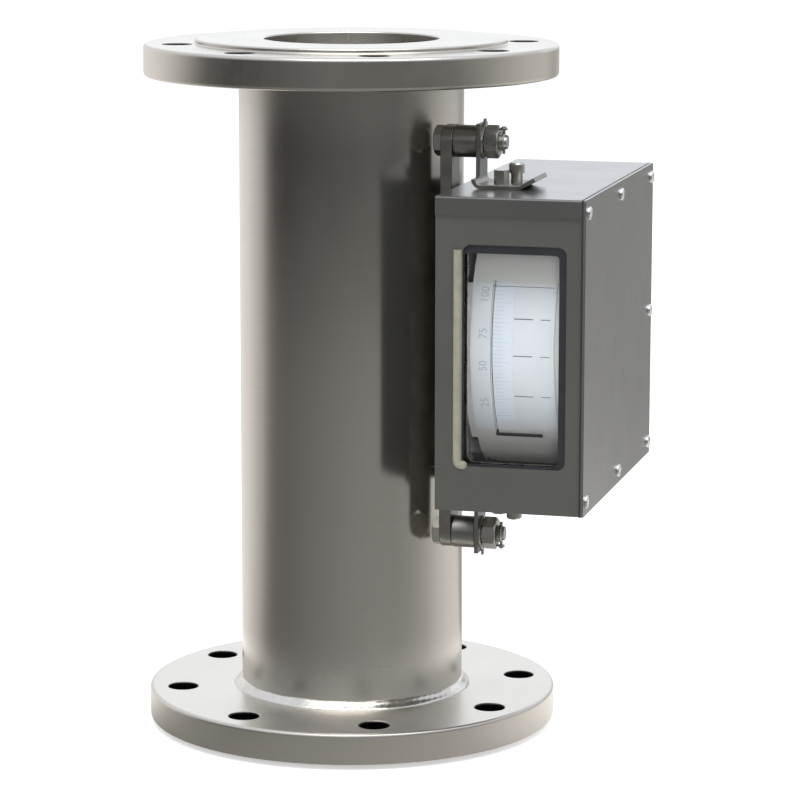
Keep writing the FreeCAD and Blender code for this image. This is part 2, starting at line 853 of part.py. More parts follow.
def make_cotter(index, height, away):
    """A pin through the bolt's tip, with a wider outer end."""
    body = new_body(f"cotter_{index}")
    wire, half = dim.cotter_diameter / 2, dim.cotter_length / 2
    turn(body, [
        (0, -away * half), (wire, -away * half), (wire, away * half), (dim.cotter_eye, away * half),
        (dim.cotter_eye, away * (half + wire)), (wire, away * (half + dim.cotter_eye)),
        (0, away * (half + dim.cotter_eye)),
    ])
    return place(body, washer_end + dim.nut_height + dim.bolt_tip / 2, bolt_across, height)


def make_foot_nut(index, case_face, away):
    """A hexagon-headed screw through the bracket's foot into the case."""
    body = new_body(f"foot_nut_{index}")
    foot = case_face + away * dim.bracket_sheet
    low, high = sorted((foot, foot + away * dim.foot_nut_height), key=number)
    pad(body, "XY_Plane", low, high, [hexagon(dim.foot_nut_flats)])
    low, high = sorted((foot, case_face - away * dim.foot_shank), key=number)
    pad(body, "XY_Plane", low, high, circles=[(0, 0, dim.foot_screw / 2)])
    return place(body, dim.foot_nut_at, dim.foot_nut_across)


def make_foot_screw(index, case_face, away):
    """A tall round-headed screw with a narrow neck."""
    body = new_body(f"foot_screw_{index}")
    foot = case_face + away * dim.bracket_sheet
    top = foot + away * dim.foot_screw_head_height
    head, neck, shank = dim.foot_screw_head / 2, dim.foot_screw_neck / 2, dim.foot_screw / 2
    turn(body, [
        (0, case_face - away * dim.foot_shank), (shank, case_face - away * dim.foot_shank), (shank, foot),
        (neck, foot), (neck, foot + away * dim.foot_screw_head_height / 2),
        (head, foot + away * dim.foot_screw_head_height / 2), (head, top - away * dim.rod_chamfer),
        (head - dim.rod_chamfer, top), (0, top),
    ])
    return place(body, dim.foot_screw_at, dim.foot_screw_across)


washer_end = leg_end + dim.washer_thickness
ends = ((1, dim.case_high, 1, "upper"), (2, dim.case_low, -1, "lower"))
bolt_heights = [face + away * dim.bracket_bolt_reach for _, face, away, _ in ends]
make_mounting_plate()
group("plate_welds", [
    make_plate_weld("front_plate_weld", -dim.mount_weld_end, -dim.mount_weld_start),
    make_plate_weld("rear_plate_weld", dim.mount_weld_start, dim.mount_weld_end),
])
for _, face, away, name in ends:
    make_bracket(f"{name}_bracket", face, away)
group("bosses", [make_boss(f"{end[3]}_boss", height) for end, height in zip(ends, bolt_heights)])
group("bracket_bolts", [make_bracket_bolt(end[0], height) for end, height in zip(ends, bolt_heights)])
group("tab_washers", [make_washer(end[0], height, end[2]) for end, height in zip(ends, bolt_heights)])
group("bracket_nuts", [make_nut(end[0], height) for end, height in zip(ends, bolt_heights)])
group("cotters", [make_cotter(end[0], height, end[2]) for end, height in zip(ends, bolt_heights)])
group("foot_nuts", [make_foot_nut(index, face, away) for index, face, away, _ in ends])
group("foot_screws", [make_foot_screw(index, face, away) for index, face, away, _ in ends])


# Case: a bent shell, a front panel behind its lip, and a screwed side cover on a gasket

cover_start = shell_end + dim.gasket_sheet
screw_rows = (dim.case_low + dim.cover_screw_inset, dim.case_high - dim.cover_screw_inset)
screw_reach = case_rear - dim.cover_screw_inset
screw_places = [(across, row) for row in screw_rows for across in (-screw_reach, Size(0, "0"), screw_reach)]
screw_places.append((screw_reach, (dim.case_low + dim.case_high) / 2))
standoff_places = [(side * dim.standoff_across, dim.spindle_height + up * dim.standoff_up)
                   for side in (-1, 1) for up in (-1, 1)]


def make_case_shell():
    body = new_body("case_shell")
    low, high, start, end = dim.case_low, dim.case_high, dim.case_start, shell_end
    wall, bend = dim.sheet, dim.bend
    flange = dim.rim_flange
    pad(body, "XZ_Plane", panel_back, case_rear, [[
        (start, low, bend), (end, low, bend), (end, low + flange), (end - wall, low + flange),
        (end - wall, low + wall), (start + wall, low + wall), (start + wall, high - wall),
        (end - wall, high - wall), (end - wall, high - flange), (end, high - flange),
        (end, high, bend), (start, high, bend),
    ]])
    pad(body, "XZ_Plane", case_rear - wall, case_rear, [rectangle(
        start + wall / 2, end - wall, low + wall / 2, high - wall / 2)])
    pad(body, "YZ_Plane", end - wall, end, [rectangle(
        case_rear - flange, case_rear, low + flange / 2, high - flange / 2)])
    pad(body, "YZ_Plane", start, end, [[
        (-case_rear, high - dim.lip), (panel_front, high - dim.lip), (panel_front, high - wall),
        (panel_back + wall, high - wall), (panel_back + wall, high), (-case_rear, high, bend),
    ]])
    pocket(body, "XY_Plane", low, low + wall, circles=foot_holes())
    pocket(body, "XY_Plane", high - wall, high, circles=foot_holes())
    pocket(body, "YZ_Plane", start, start + wall, circles=[
        (across, up, dim.machine_screw / 2 + dim.fixed_fit) for across, up in standoff_places])
    pocket(body, "YZ_Plane", end - wall, end, circles=[
        (across, up, dim.cover_screw / 2 + dim.fixed_fit) for across, up in screw_places])
    return node(body)


def make_front_panel():
    body = new_body("front_panel")
    pad(body, "XZ_Plane", panel_front, panel_back, [
        rectangle(dim.case_start, shell_end, dim.case_low, dim.case_high - dim.sheet - dim.fixed_fit),
        rectangle(dim.window_start, dim.window_end, dim.window_low, dim.window_high, dim.window_corner),
    ])
    pad(body, "YZ_Plane", shell_end - dim.sheet, shell_end, [rectangle(
        panel_back, -case_rear + dim.rim_flange + dim.sheet,
        dim.case_low + dim.rim_flange + dim.fixed_fit, dim.case_high - dim.rim_flange - dim.fixed_fit)])
    pad(body, "XZ_Plane", panel_back, clamp_back + dim.clamp_nut_height + dim.fixed_fit, circles=[
        (across, up, dim.stud_diameter / 2) for across, up in stud_places])
    return node(body)


def make_side_cover():
    body = new_body("side_cover")
    pad(body, "YZ_Plane", cover_start, dim.case_end, [rectangle(
        -case_rear, case_rear, dim.case_low, dim.case_high, dim.cover_corner)],
        [(across, up, dim.cover_screw_hole / 2) for across, up in screw_places])
    return node(body)


def make_cover_gasket():
    body = new_body("cover_gasket")
    band = dim.rim_flange
    pad(body, "YZ_Plane", shell_end, cover_start, [
        rectangle(-case_rear, case_rear, dim.case_low, dim.case_high),
        rectangle(-case_rear + band, case_rear - band, dim.case_low + band, dim.case_high - band),
    ], [(across, up, dim.cover_screw_hole / 2) for across, up in screw_places])
    return node(body)


def make_cover_screw(index, across, up):
    body = new_body(f"cover_screw_{index}")
    shank, head = dim.cover_screw / 2, dim.cover_screw_head / 2
    top = dim.case_end + dim.cover_screw_head_height
    turn(body, [
        (dim.case_end - dim.cover_screw_length, 0), (dim.case_end - dim.cover_screw_length, shank),
        (dim.case_end, shank), (dim.case_end, head), (top - dim.screw_chamfer, head),
        (top, head - dim.screw_chamfer), (top, 0),
    ], "X")
    return place(body, 0, across, up)


glass_edge = dim.window_overlap
glass_box = (dim.window_start - glass_edge, dim.window_end + glass_edge,
             dim.window_low - dim.window_overlap * 2, dim.window_high + dim.window_overlap * 2)
gasket_back = panel_back + dim.gasket_thickness
glass_back = gasket_back + dim.glass
clamp_back = glass_back + dim.clamp_sheet
stud_columns = (glass_box[0] - dim.stud_offset, glass_box[1] + dim.stud_offset)
stud_rows = (glass_box[2], (glass_box[2] + glass_box[3]) / 2, glass_box[3])
stud_places = [(across, up) for across in stud_columns for up in stud_rows]


def make_window():
    gasket = new_body("window_gasket")
    pad(gasket, "XZ_Plane", panel_back, gasket_back, [
        rectangle(*glass_box),
        rectangle(dim.window_start + dim.gasket_lip_left, dim.window_end - dim.gasket_lip_right,
                  dim.window_low + dim.gasket_lip_bottom, dim.window_high - dim.gasket_lip_top,
                  dim.window_corner / 2),
    ])
    node(gasket)
    glass = new_body("window_glass")
    pad(glass, "XZ_Plane", gasket_back, glass_back, [rectangle(*glass_box)])
    node(glass)
    clamp = new_body("window_clamp")
    outer = (stud_columns[0] - dim.clamp_side_margin, stud_columns[1] + dim.clamp_side_margin,
             glass_box[2] - dim.clamp_margin, glass_box[3] + dim.clamp_margin)
    pad(clamp, "XZ_Plane", glass_back, clamp_back, [
        rectangle(*outer, dim.plate_corner),
        rectangle(dim.window_start + dim.window_overlap, dim.window_end - dim.window_overlap,
                  dim.window_low + dim.window_overlap, dim.window_high - dim.window_overlap,
                  dim.window_corner),
    ], [(across, up, dim.stud_diameter / 2 + dim.fixed_fit) for across, up in stud_places])
    node(clamp)
    nuts = []
    for index, (across, up) in enumerate(stud_places, start=1):
        nut = new_body(f"clamp_nut_{index}")
        pad(nut, "XZ_Plane", clamp_back, clamp_back + dim.clamp_nut_height,
            [hexagon(dim.clamp_nut_flats, 30)], [(0, 0, dim.stud_diameter / 2 + dim.fixed_fit)])
        nuts.append(place(nut, across, 0, up))
    group("clamp_nuts", nuts)


def make_window_seal():
    """A pale bead down the window's left edge, with a hooked lower end."""
    body = new_body("window_seal")
    start, end = dim.seal_start, dim.seal_start + dim.seal_width
    low, hook_high = dim.seal_low, dim.seal_low + dim.seal_hook_height
    hook_end = end + dim.seal_hook
    pad(body, "XZ_Plane", panel_front - dim.seal_proud, panel_front, [[
        (start, low, dim.seal_corner), (hook_end, low, dim.seal_hook_radius),
        (hook_end, hook_high, dim.seal_hook_radius), (end, hook_high),
        (end, dim.seal_high), (start, dim.seal_high),
    ]])
    return node(body)


make_case_shell()
make_front_panel()
make_side_cover()
make_cover_gasket()
group("cover_screws", [
    make_cover_screw(index, across, up) for index, (across, up) in enumerate(screw_places, start=1)])
make_window()
make_window_seal()


# Movement: the plate on the case's wall, the bridge, and what stands between them

def make_movement_plate():
    body = new_body("movement_plate")
    corner = dim.plate_corner
    pad(body, "YZ_Plane", plate_start, plate_end, [[
        (dim.cheek_front, dim.cheek_low, corner), (dim.plate_front, dim.cheek_low, corner),
        (dim.plate_front, dim.plate_low, corner), (dim.plate_rear, dim.plate_low, corner),
        (dim.plate_rear, dim.plate_high, corner), (dim.plate_front, dim.plate_high, corner),
        (dim.plate_front, dim.cheek_high, corner), (dim.cheek_front, dim.cheek_high, corner),
    ]], [(0, dim.spindle_height, dim.bearing_diameter / 2)]
        + [(across, up, dim.machine_screw / 2 + dim.fixed_fit) for across, up in standoff_places])
    return node(body)


def make_standoff(index, across, up):
    body = new_body(f"standoff_{index}")
    turn(body, ring(dim.case_start + dim.sheet, plate_start, dim.machine_screw / 2 + dim.fixed_fit,
                    dim.standoff_diameter / 2), "X")
    return place(body, 0, across, up)


def make_machine_screw(label, start, tip, across, up):
    """A cheese-headed screw whose head bears on the face at the start."""
    body = new_body(label)
    shank, head = dim.machine_screw / 2, dim.machine_screw_head / 2
    top = start + dim.machine_screw_head_height
    turn(body, [
        (tip, 0), (tip, shank), (start, shank), (start, head), (top - dim.screw_chamfer, head),
        (top, head - dim.screw_chamfer), (top, 0),
    ], "X")
    return place(body, 0, across, up)


def make_bridge():
    body = new_body("bridge_plate")
    half = dim.bridge_half_height
    pad(body, "YZ_Plane", dim.bridge_start, bridge_end, [rectangle(
        dim.bridge_front, dim.bridge_rear, dim.spindle_height - half, dim.spindle_height + half, dim.plate_corner)],
        [(0, dim.spindle_height, dim.bearing_diameter / 2)]
        + [(across, up, dim.machine_screw / 2 + dim.fixed_fit) for across, up in pillar_places])
    return node(body)


def make_pillar(index, across, up):
    body = new_body(f"pillar_{index}")
    hole = dim.machine_screw / 2 + dim.fixed_fit
    depth = dim.bridge_start - dim.pillar_thread
    turn(body, [(plate_end, 0), (plate_end, dim.pillar_diameter / 2), (dim.bridge_start, dim.pillar_diameter / 2),
                (dim.bridge_start, hole), (depth, hole), (depth, 0)], "X")
    return place(body, 0, across, up)


def make_bearing(label, face, away):
    """A flanged bush in a plate; the face carries its flange."""
    body = new_body(label)
    bore = dim.spindle_diameter / 2 + dim.running_fit
    outer, lip = dim.bearing_diameter / 2 - dim.fixed_fit, dim.bearing_flange / 2
    turn(body, [
        (face - away * dim.plate_sheet, bore), (face - away * dim.plate_sheet, outer), (face, outer),
        (face, lip), (face + away * dim.bearing_lip, lip), (face + away * dim.bearing_lip, bore),
    ], "X")
    place(body, 0, Size(0, "0"), dim.spindle_height)
    return node(body)


pillar_places = [(across, dim.spindle_height + up * dim.pillar_up)
                 for across in (dim.pillar_front, dim.pillar_rear) for up in (-1, 1)]
make_movement_plate()
group("standoffs", [make_standoff(i, *spot) for i, spot in enumerate(standoff_places, start=1)])
group("standoff_screws", [make_machine_screw(f"standoff_screw_{i}", plate_end, dim.case_start + dim.fixed_fit, *spot)
                          for i, spot in enumerate(standoff_places, start=1)])
make_bridge()
group("pillars", [make_pillar(i, *spot) for i, spot in enumerate(pillar_places, start=1)])
group("pillar_screws", [make_machine_screw(f"pillar_screw_{i}", bridge_end,
                                           dim.bridge_start - dim.pillar_thread + dim.slip_fit, *spot)
                        for i, spot in enumerate(pillar_places, start=1)])
make_bearing("inner_bearing", plate_end, 1)
make_bearing("outer_bearing", dim.bridge_start, -1)


# Dial: a curved plate on two curved posts, with a thin scale plate on its face

def make_arc_plate(label, start, end, inner, outer, up_angle, down_angle):
    """A part of a tube about the spindle's axis, from an angle above the level to one below."""
    body = new_body(label)
    turn(body, rectangle(start, end, -outer, -inner), "X", down_angle, "XY_Plane", down=up_angle)
    return body


def cut_arc(body, start, end, inner, outer, up_angle, down_angle):
    turn(body, rectangle(start, end, -outer, -inner), "X", down_angle, "XY_Plane", "Groove", down=up_angle)


def drill_radially(label, body, angles, columns, radius):
    """Radial holes through a curved piece."""
    drills = []
    for angle in angles:
        for column in columns:
            drill = new_body(f"{label}_drill_{len(drills) + 1}")
            pad(drill, "XZ_Plane", -dim.dial_radius - dim.post_depth, -dim.dial_radius / 2, circles=[(column, 0, radius)])
            drills.append(place(drill, 0, Size(0, "0"), dim.spindle_height, angle))
    tool = doc.addObject("Part::Compound", f"{label}_drills")
    tool.Links = drills
    drilled = doc.addObject("Part::Cut", label)
    drilled.Base = body
    drilled.Tool = tool
    return node(drilled)


def make_dial():
    inner = dim.dial_radius - dim.dial_sheet
    outer = dim.dial_radius
    slot = (dim.slot_middle - dim.slot_width / 2, dim.slot_middle + dim.slot_width / 2)
    angles = (dim.dial_screw_angle, -dim.dial_screw_angle)
    columns = (dim.dial_start + dim.dial_screw_inset / 2, dim.dial_end - dim.dial_screw_inset / 2)
    dial = make_arc_plate("dial_blank", dim.dial_start, dim.dial_end, inner, outer,
                          dim.dial_half_angle, dim.dial_half_angle)
    cut_arc(dial, *slot, inner - dim.cut_margin, outer + dim.cut_margin, dim.slot_up_angle, dim.slot_down_angle)
    place(dial, 0, 0, dim.spindle_height)
    drill_radially("dial_plate", dial, angles, columns, dim.dial_screw / 2 + dim.fixed_fit)
    scale_back = outer + dim.fixed_fit
    scale = make_arc_plate("scale_plate", dim.scale_start, dim.scale_end, scale_back, scale_back + dim.scale_sheet,
                           dim.scale_up_angle, dim.scale_down_angle)
    cut_arc(scale, *slot, inner, outer + dim.cut_margin, dim.slot_up_angle, dim.slot_down_angle)
    node(place(scale, 0, 0, dim.spindle_height))
    post = (plate_end, dim.dial_end, inner - dim.post_depth, inner - dim.fixed_fit)
    posts = make_arc_plate("post_blanks", *post, dim.dial_half_angle, dim.dial_half_angle)
    cut_arc(posts, *post, dim.post_inner_angle, dim.post_inner_angle)
    place(posts, 0, 0, dim.spindle_height)
    drill_radially("dial_posts", posts, angles, columns, dim.dial_screw / 2 + dim.fixed_fit)
    screws = []
    for angle in angles:
        for column in columns:
            screw = new_body(f"dial_screw_{len(screws) + 1}")
            pad(screw, "XZ_Plane", -outer, -inner + dim.post_depth - dim.fixed_fit,
                circles=[(column, 0, dim.dial_screw / 2)])
            pad(screw, "XZ_Plane", -outer - dim.dial_screw / 2, -outer, circles=[(column, 0, dim.dial_screw_head / 2)])
            screws.append(place(screw, 0, Size(0, "0"), dim.spindle_height, angle))
    group("dial_screws", screws)


make_dial()


# Pointer: everything on the spindle, turned down to its rest angle

def on_spindle(body):
    place(body, 0, Size(0, "0"), dim.spindle_height, dim.pointer_rest_angle)
    return node(body)


def make_pointer():
    spindle_radius = dim.spindle_diameter / 2
    seat = spindle_radius + dim.fixed_fit
    hub = dim.hub_diameter / 2
    spindle = new_body("spindle")
    start = dim.case_start + dim.sheet + dim.plate_gap - dim.bearing_lip
    turn(spindle, ring(start, bridge_end + dim.bearing_lip, 0, spindle_radius), "X")
    on_spindle(spindle)
    pointer_hub = new_body("pointer_hub")
    turn(pointer_hub, [
        (dim.hub_start, seat), (dim.hub_start, hub), (dim.hub_arm_side, hub), (dim.hub_arm_side, dim.hub_shoulder / 2),
        (dim.hub_disc_side, dim.hub_shoulder / 2), (dim.hub_disc_side, hub), (dim.hub_end, hub), (dim.hub_end, seat),
    ], "X")
    on_spindle(pointer_hub)
    make_arm(hub + dim.fixed_fit)
    weight = new_body("counterweight")
    turn(weight, ring(dim.hub_arm_side - dim.arm_sheet - dim.counterweight_length, dim.hub_arm_side - dim.arm_sheet,
                      0, dim.counterweight_diameter / 2), "X")
    place(weight, 0, dim.counterweight_offset * cosine(dim.pointer_rest_angle),
          dim.spindle_height + dim.counterweight_offset * sine(dim.pointer_rest_angle), dim.pointer_rest_angle)
    node(weight)
    disc = new_body("damping_disc")
    turn(disc, ring(dim.hub_disc_side, dim.hub_disc_side + dim.damping_disc_sheet,
                    hub + dim.fixed_fit, dim.damping_disc_diameter / 2), "X")
    on_spindle(disc)
    carrier = new_body("magnet_carrier")
    plate = dim.follower_start + dim.follower_plate
    turn(carrier, [
        (dim.follower_start, seat), (dim.follower_start, dim.follower_plate_diameter / 2),
        (plate, dim.follower_plate_diameter / 2), (plate, hub), (dim.follower_hub_end, hub),
        (dim.follower_hub_end, seat),
    ], "X")
    on_spindle(carrier)
    magnet = new_body("follower_magnet")
    length, height = dim.follower_length / 2, dim.follower_height / 2
    pad(magnet, "YZ_Plane", plate, plate + dim.follower_depth, [rectangle(-length, length, -height, height, dim.magnet_corner)],
        [(0, 0, hub + dim.fixed_fit)])
    on_spindle(magnet)


def make_arm(eye_bore):
    """A flat tapered arm with an eye, a tail for the weight and a blade bent along the dial."""
    body = new_body("pointer_arm")
    start, end = dim.hub_arm_side - dim.arm_sheet, dim.hub_arm_side
    root, tip = dim.arm_root_width / 2, dim.blade_width / 2
    back = -dim.pointer_radius + dim.blade_thickness
    pad(body, "YZ_Plane", start, end, [[
        (-dim.pointer_radius, -tip), (0, -root), (dim.arm_tail, -root), (dim.arm_tail, root), (0, root),
        (-dim.pointer_radius, tip),
    ]])
    pad(body, "YZ_Plane", start, end, circles=[(0, 0, dim.arm_eye_diameter / 2)])
    pocket(body, "YZ_Plane", start, end, circles=[(0, 0, eye_bore)])
    pad(body, "XZ_Plane", -dim.pointer_radius, back, [rectangle(start, dim.blade_end, -tip, tip)])
    return on_spindle(body)


def make_damping_magnet():
    """A fixed magnet with a slot for the damping disc, on the bridge."""
    body = new_body("damping_magnet")
    half = dim.damping_magnet_half_height
    disc_start, disc_end = dim.hub_disc_side, dim.hub_disc_side + dim.damping_disc_sheet
    front, rear = dim.damping_magnet_front, dim.damping_magnet_rear
    pad(body, "XY_Plane", -half, half, [[
        (dim.damping_magnet_start, front), (disc_start - dim.damping_gap, front),
        (disc_start - dim.damping_gap, dim.damping_magnet_slot, 1),
        (disc_end + dim.damping_gap, dim.damping_magnet_slot, 1), (disc_end + dim.damping_gap, front),
        (dim.bridge_start, front), (dim.bridge_start, rear), (dim.damping_magnet_start, rear, 3),
    ]])
    place(body, 0, 0, dim.spindle_height)
    return node(body)


make_pointer()
make_damping_magnet()


# Check every object, then write each piece

doc.recompute()
for item in doc.Objects:
    if {"Invalid", "Error"} & set(item.State):
        raise RuntimeError(f"{item.Label} did not rebuild: {item.State}")
    if item.TypeId in ("PartDesign::Pocket", "PartDesign::Groove"):
        removed = item.BaseFeature.Shape.Volume - item.Shape.Volume
        if removed <= 0:
            raise RuntimeError(f"{item.Label} removes nothing")
for item in nodes:
    if item.Shape.isNull() or not item.Shape.isValid():
        raise RuntimeError(f"{item.Label} has no valid shape")
os.makedirs("parts", exist_ok=True)
for item in nodes:
    item.Shape.exportStep(f"parts/{item.Label}.step")
print(f"{len(nodes)} pieces written")
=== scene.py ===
import json
import math

import bmesh
import bpy
from mathutils import Matrix, Vector


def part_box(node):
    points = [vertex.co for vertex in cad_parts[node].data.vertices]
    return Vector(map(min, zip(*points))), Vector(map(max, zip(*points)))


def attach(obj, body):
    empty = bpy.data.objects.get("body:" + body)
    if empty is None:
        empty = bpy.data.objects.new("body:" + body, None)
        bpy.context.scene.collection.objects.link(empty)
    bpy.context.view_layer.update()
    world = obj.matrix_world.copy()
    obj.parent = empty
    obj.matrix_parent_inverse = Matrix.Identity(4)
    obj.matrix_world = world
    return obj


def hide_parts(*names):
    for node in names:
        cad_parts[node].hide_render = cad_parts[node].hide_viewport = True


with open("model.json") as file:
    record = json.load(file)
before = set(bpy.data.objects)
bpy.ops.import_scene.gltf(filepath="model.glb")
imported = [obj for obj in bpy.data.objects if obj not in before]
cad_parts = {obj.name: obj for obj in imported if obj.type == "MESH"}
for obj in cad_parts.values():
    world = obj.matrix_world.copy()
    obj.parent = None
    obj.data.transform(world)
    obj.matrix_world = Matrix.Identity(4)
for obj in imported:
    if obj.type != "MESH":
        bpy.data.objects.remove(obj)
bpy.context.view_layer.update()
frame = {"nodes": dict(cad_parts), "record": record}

MM = 0.001
WHITE_PAGE = (1.0, 1.0, 1.0, 1.0)
# The flange's bolt holes, in metres, because materials read their place in metres; the flange's finish paints
# shade on their walls
BOLT_HOLES = 8
BOLT_CIRCLE_RADIUS = 0.105
HOLE_RADIUS = 0.009
nodes = frame["nodes"]


# Node trees: materials and the world are built up with these steps

class Graph:
    """A shader tree that is built up step by step."""

    def __init__(self, tree):
        self.tree = tree
        self.link = tree.links.new

    def add(self, kind, **inputs):
        made = self.tree.nodes.new("ShaderNode" + kind)
        for key, value in inputs.items():
            if hasattr(made, key):
                setattr(made, key, value)
            else:
                self.feed(made.inputs[key.replace("_", " ")], value)
        return made

    def feed(self, socket, value):
        """Links a socket to the input, or sets the input to a number."""
        if isinstance(value, bpy.types.NodeSocket):
            self.link(value, socket)
        else:
            socket.default_value = value

    def ranged(self, value, low, high, start=0.3, stop=0.7):
        """Runs from low to high as value goes from start to stop."""
        made = self.add("MapRange", Value=value)
        for key, number in zip(("From Min", "From Max", "To Min", "To Max"), (start, stop, low, high)):
            made.inputs[key].default_value = number
        return made.outputs["Result"]

    def math(self, operation, first, second=0.0):
        made = self.add("Math", operation=operation)
        for socket, value in zip(made.inputs, (first, second)):
            self.feed(socket, value)
        return made.outputs[0]


# Finishes: each is a Principled surface with its own grain, all read in Object coordinates

class Finish(Graph):
    """A material with one Principled surface."""

    def __init__(self, name, colour, roughness, metallic=0.0, **sockets):
        self.material = bpy.data.materials.new(name)
        self.material.use_nodes = True
        super().__init__(self.material.node_tree)
        self.surface = self.tree.nodes["Principled BSDF"]
        self.surface.inputs["Base Color"].default_value = (*colour, 1)
        self.surface.inputs["Roughness"].default_value = roughness
        self.surface.inputs["Metallic"].default_value = metallic
        for socket, value in sockets.items():
            self.surface.inputs[socket.replace("_", " ")].default_value = value
        self.material.diffuse_color = (*colour, 1)

    def place(self, scale=(1, 1, 1)):
        coordinates = self.add("TexCoord").outputs["Object"]
        return self.add("Mapping", Vector=coordinates, Scale=scale).outputs["Vector"]

    def noise(self, size, detail=3.0, stretch=(1, 1, 1)):
        """A noise whose blotches are about size metres across."""
        where = self.place(stretch)
        made = self.add("TexNoise", Vector=where, Scale=1 / size, Detail=detail, Roughness=0.55)
        return made.outputs["Fac"]

    def tone(self, value, spread):
        """Varies the colour up and down by spread, as value goes from 0.3 to 0.7."""
        made = self.add("Mix", data_type="RGBA", blend_type="MULTIPLY")
        made.inputs["Factor"].default_value = 1.0
        source = self.surface.inputs["Base Color"]
        self.feed(made.inputs[6], source.links[0].from_socket if source.links else source.default_value)
        self.link(self.ranged(value, 1 - spread, 1 + spread), made.inputs[7])
        self.link(made.outputs[2], source)
        return self

    def sheen_of(self, value, low, high):
        """Varies the roughness from low to high."""
        self.link(self.ranged(value, low, high), self.surface.inputs["Roughness"])

    def bump(self, value, height, strength):
        """A raised grain, height metres deep."""
        made = self.add("Bump", Height=value, Distance=height, Strength=strength)
        self.link(made.outputs["Normal"], self.surface.inputs["Normal"])

    def length(self, along, across):
        """The length of a line from its two sides."""
        squares = [self.math("MULTIPLY", side, side) for side in (along, across)]
        return self.math("SQRT", self.math("ADD", *squares))

    def radius(self):
        """The distance from the tube's axis."""
        parts = self.add("SeparateXYZ", Vector=self.place())
        return self.length(parts.outputs["X"], parts.outputs["Y"])

    def output(self, shader):
        self.link(shader.outputs[0], self.tree.nodes["Material Output"].inputs["Surface"])

    def mix(self, share, first, second):
        """The second shader where share is 1, and the first elsewhere."""
        made = self.add("MixShader")
        for socket, source in zip(made.inputs, (share, first.outputs[0], second.outputs[0])):
            self.link(source, socket)
        return made


def paint_shade_in_bolt_holes(made):
    """Painted shade on the walls of the flange's bolt holes, found by their distance from the nearest hole's
    axis.
    """
    parts = made.add("SeparateXYZ", Vector=made.place())
    turn = made.math("ARCTAN2", parts.outputs["Y"], parts.outputs["X"])
    pitch = 2 * math.pi / BOLT_HOLES
    share = made.math("FRACT", made.math("ADD", made.math("DIVIDE", turn, pitch), float(BOLT_HOLES)))
    near = made.math("MULTIPLY", made.math("SUBTRACT", share, 0.5), pitch)
    reach = made.radius()
    along = made.math("SUBTRACT", made.math("MULTIPLY", reach, made.math("COSINE", near)), BOLT_CIRCLE_RADIUS)
    across = made.math("MULTIPLY", reach, made.math("SINE", near))
    away = made.length(along, across)
    # Painted shade: inside the holes the steel's colour is darkened almost to black
    made.tone(made.ranged(away, 0.3, 0.5, HOLE_RADIUS + 0.0002, HOLE_RADIUS + 0.0006), 0.93)


def turned_steel(name, colour, roughness, shades_bolt_holes=False):
    """Faced on a lathe: fine rings round the tube's axis, over a satin blotch, and painted shade in the bolt
    holes where asked.
    """
    made = Finish(name, colour, roughness, 1.0)
    turning = made.add("TexNoise", noise_dimensions="1D", W=made.radius(), Scale=2600.0, Detail=2.0)
    rings = turning.outputs["Fac"]
    blotch = made.noise(0.05, 4.0)
    made.tone(blotch, 0.04).tone(rings, 0.025)
    grain = made.math("ADD", made.math("MULTIPLY", rings, 0.35), made.math("MULTIPLY", blotch, 0.65))
    made.sheen_of(grain, roughness - 0.06, roughness + 0.07)
    made.bump(rings, 0.00002, 0.5)
    if shades_bolt_holes:
        paint_shade_in_bolt_holes(made)
    return made.material


def drawn_steel(name, colour, roughness):
    """Polished tube: faint lines round it from the polishing belt, soft hand marks and duller ends."""
    made = Finish(name, colour, roughness, 1.0)
    lines = made.noise(0.0007, 2.0, (0.02, 0.02, 1))
    blotch = made.noise(0.07, 4.0, (1, 1, 0.5))
    made.tone(blotch, 0.03).tone(lines, 0.016)
    height = made.add("SeparateXYZ", Vector=made.place()).outputs["Z"]
    low, high = (end.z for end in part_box("metering_tube"))
    from_end = made.math("MINIMUM", made.math("SUBTRACT", height, low), made.math("SUBTRACT", high, height))
    dressed = made.ranged(from_end, 0.16, 0.0, 0.012, 0.05)
    polish = made.ranged(blotch, roughness - 0.04, roughness + 0.04)
    made.link(made.math("ADD", dressed, polish), made.surface.inputs["Roughness"])
    made.bump(lines, 0.000008, 0.3)
    return made.material


def machined_steel(name, colour, roughness, spread=0.05):
    """Machined or plated metal: a fine grain over soft blotches."""
    made = Finish(name, colour, roughness, 1.0)
    grain = made.noise(0.0006, 2.0)
    blotch = made.noise(0.012, 3.0)
    made.tone(blotch, spread)
    made.sheen_of(blotch, roughness - 0.06, roughness + 0.08)
    made.bump(grain, 0.00002, 0.4)
    return made.material


def weld_steel():
    """Cleaned weld: bright metal with soft waves."""
    made = Finish("cleaned weld", (0.72, 0.69, 0.64), 0.24, 1.0)
    made.tone(made.noise(0.006, 3.0), 0.06)
    made.sheen_of(made.noise(0.005, 2.0), 0.16, 0.30)
    made.bump(made.noise(0.003, 2.0), 0.00004, 0.35)
    return made.material


def case_paint(name, colour):
    """Satin powder coat with a fine orange peel."""
    made = Finish(name, colour, 0.40, 0.0, Specular_IOR_Level=0.75, Coat_Weight=0.85, Coat_Roughness=0.22)
    peel = made.noise(0.0011, 2.0)
    cloud = made.noise(0.06, 3.0)
    made.tone(cloud, 0.035).tone(peel, 0.02)
    made.sheen_of(cloud, 0.38, 0.47)
    made.bump(peel, 0.00003, 0.5)
    return made.material


def rubber(name, colour, roughness):
    """Moulded rubber: matt and a little uneven."""
    made = Finish(name, colour, roughness, 0.0, Specular_IOR_Level=0.35)
    made.tone(made.noise(0.008, 3.0), 0.12)
    made.sheen_of(made.noise(0.002, 2.0), roughness - 0.08, roughness + 0.1)
    made.bump(made.noise(0.0007, 2.0), 0.00004, 0.5)
    return made.material


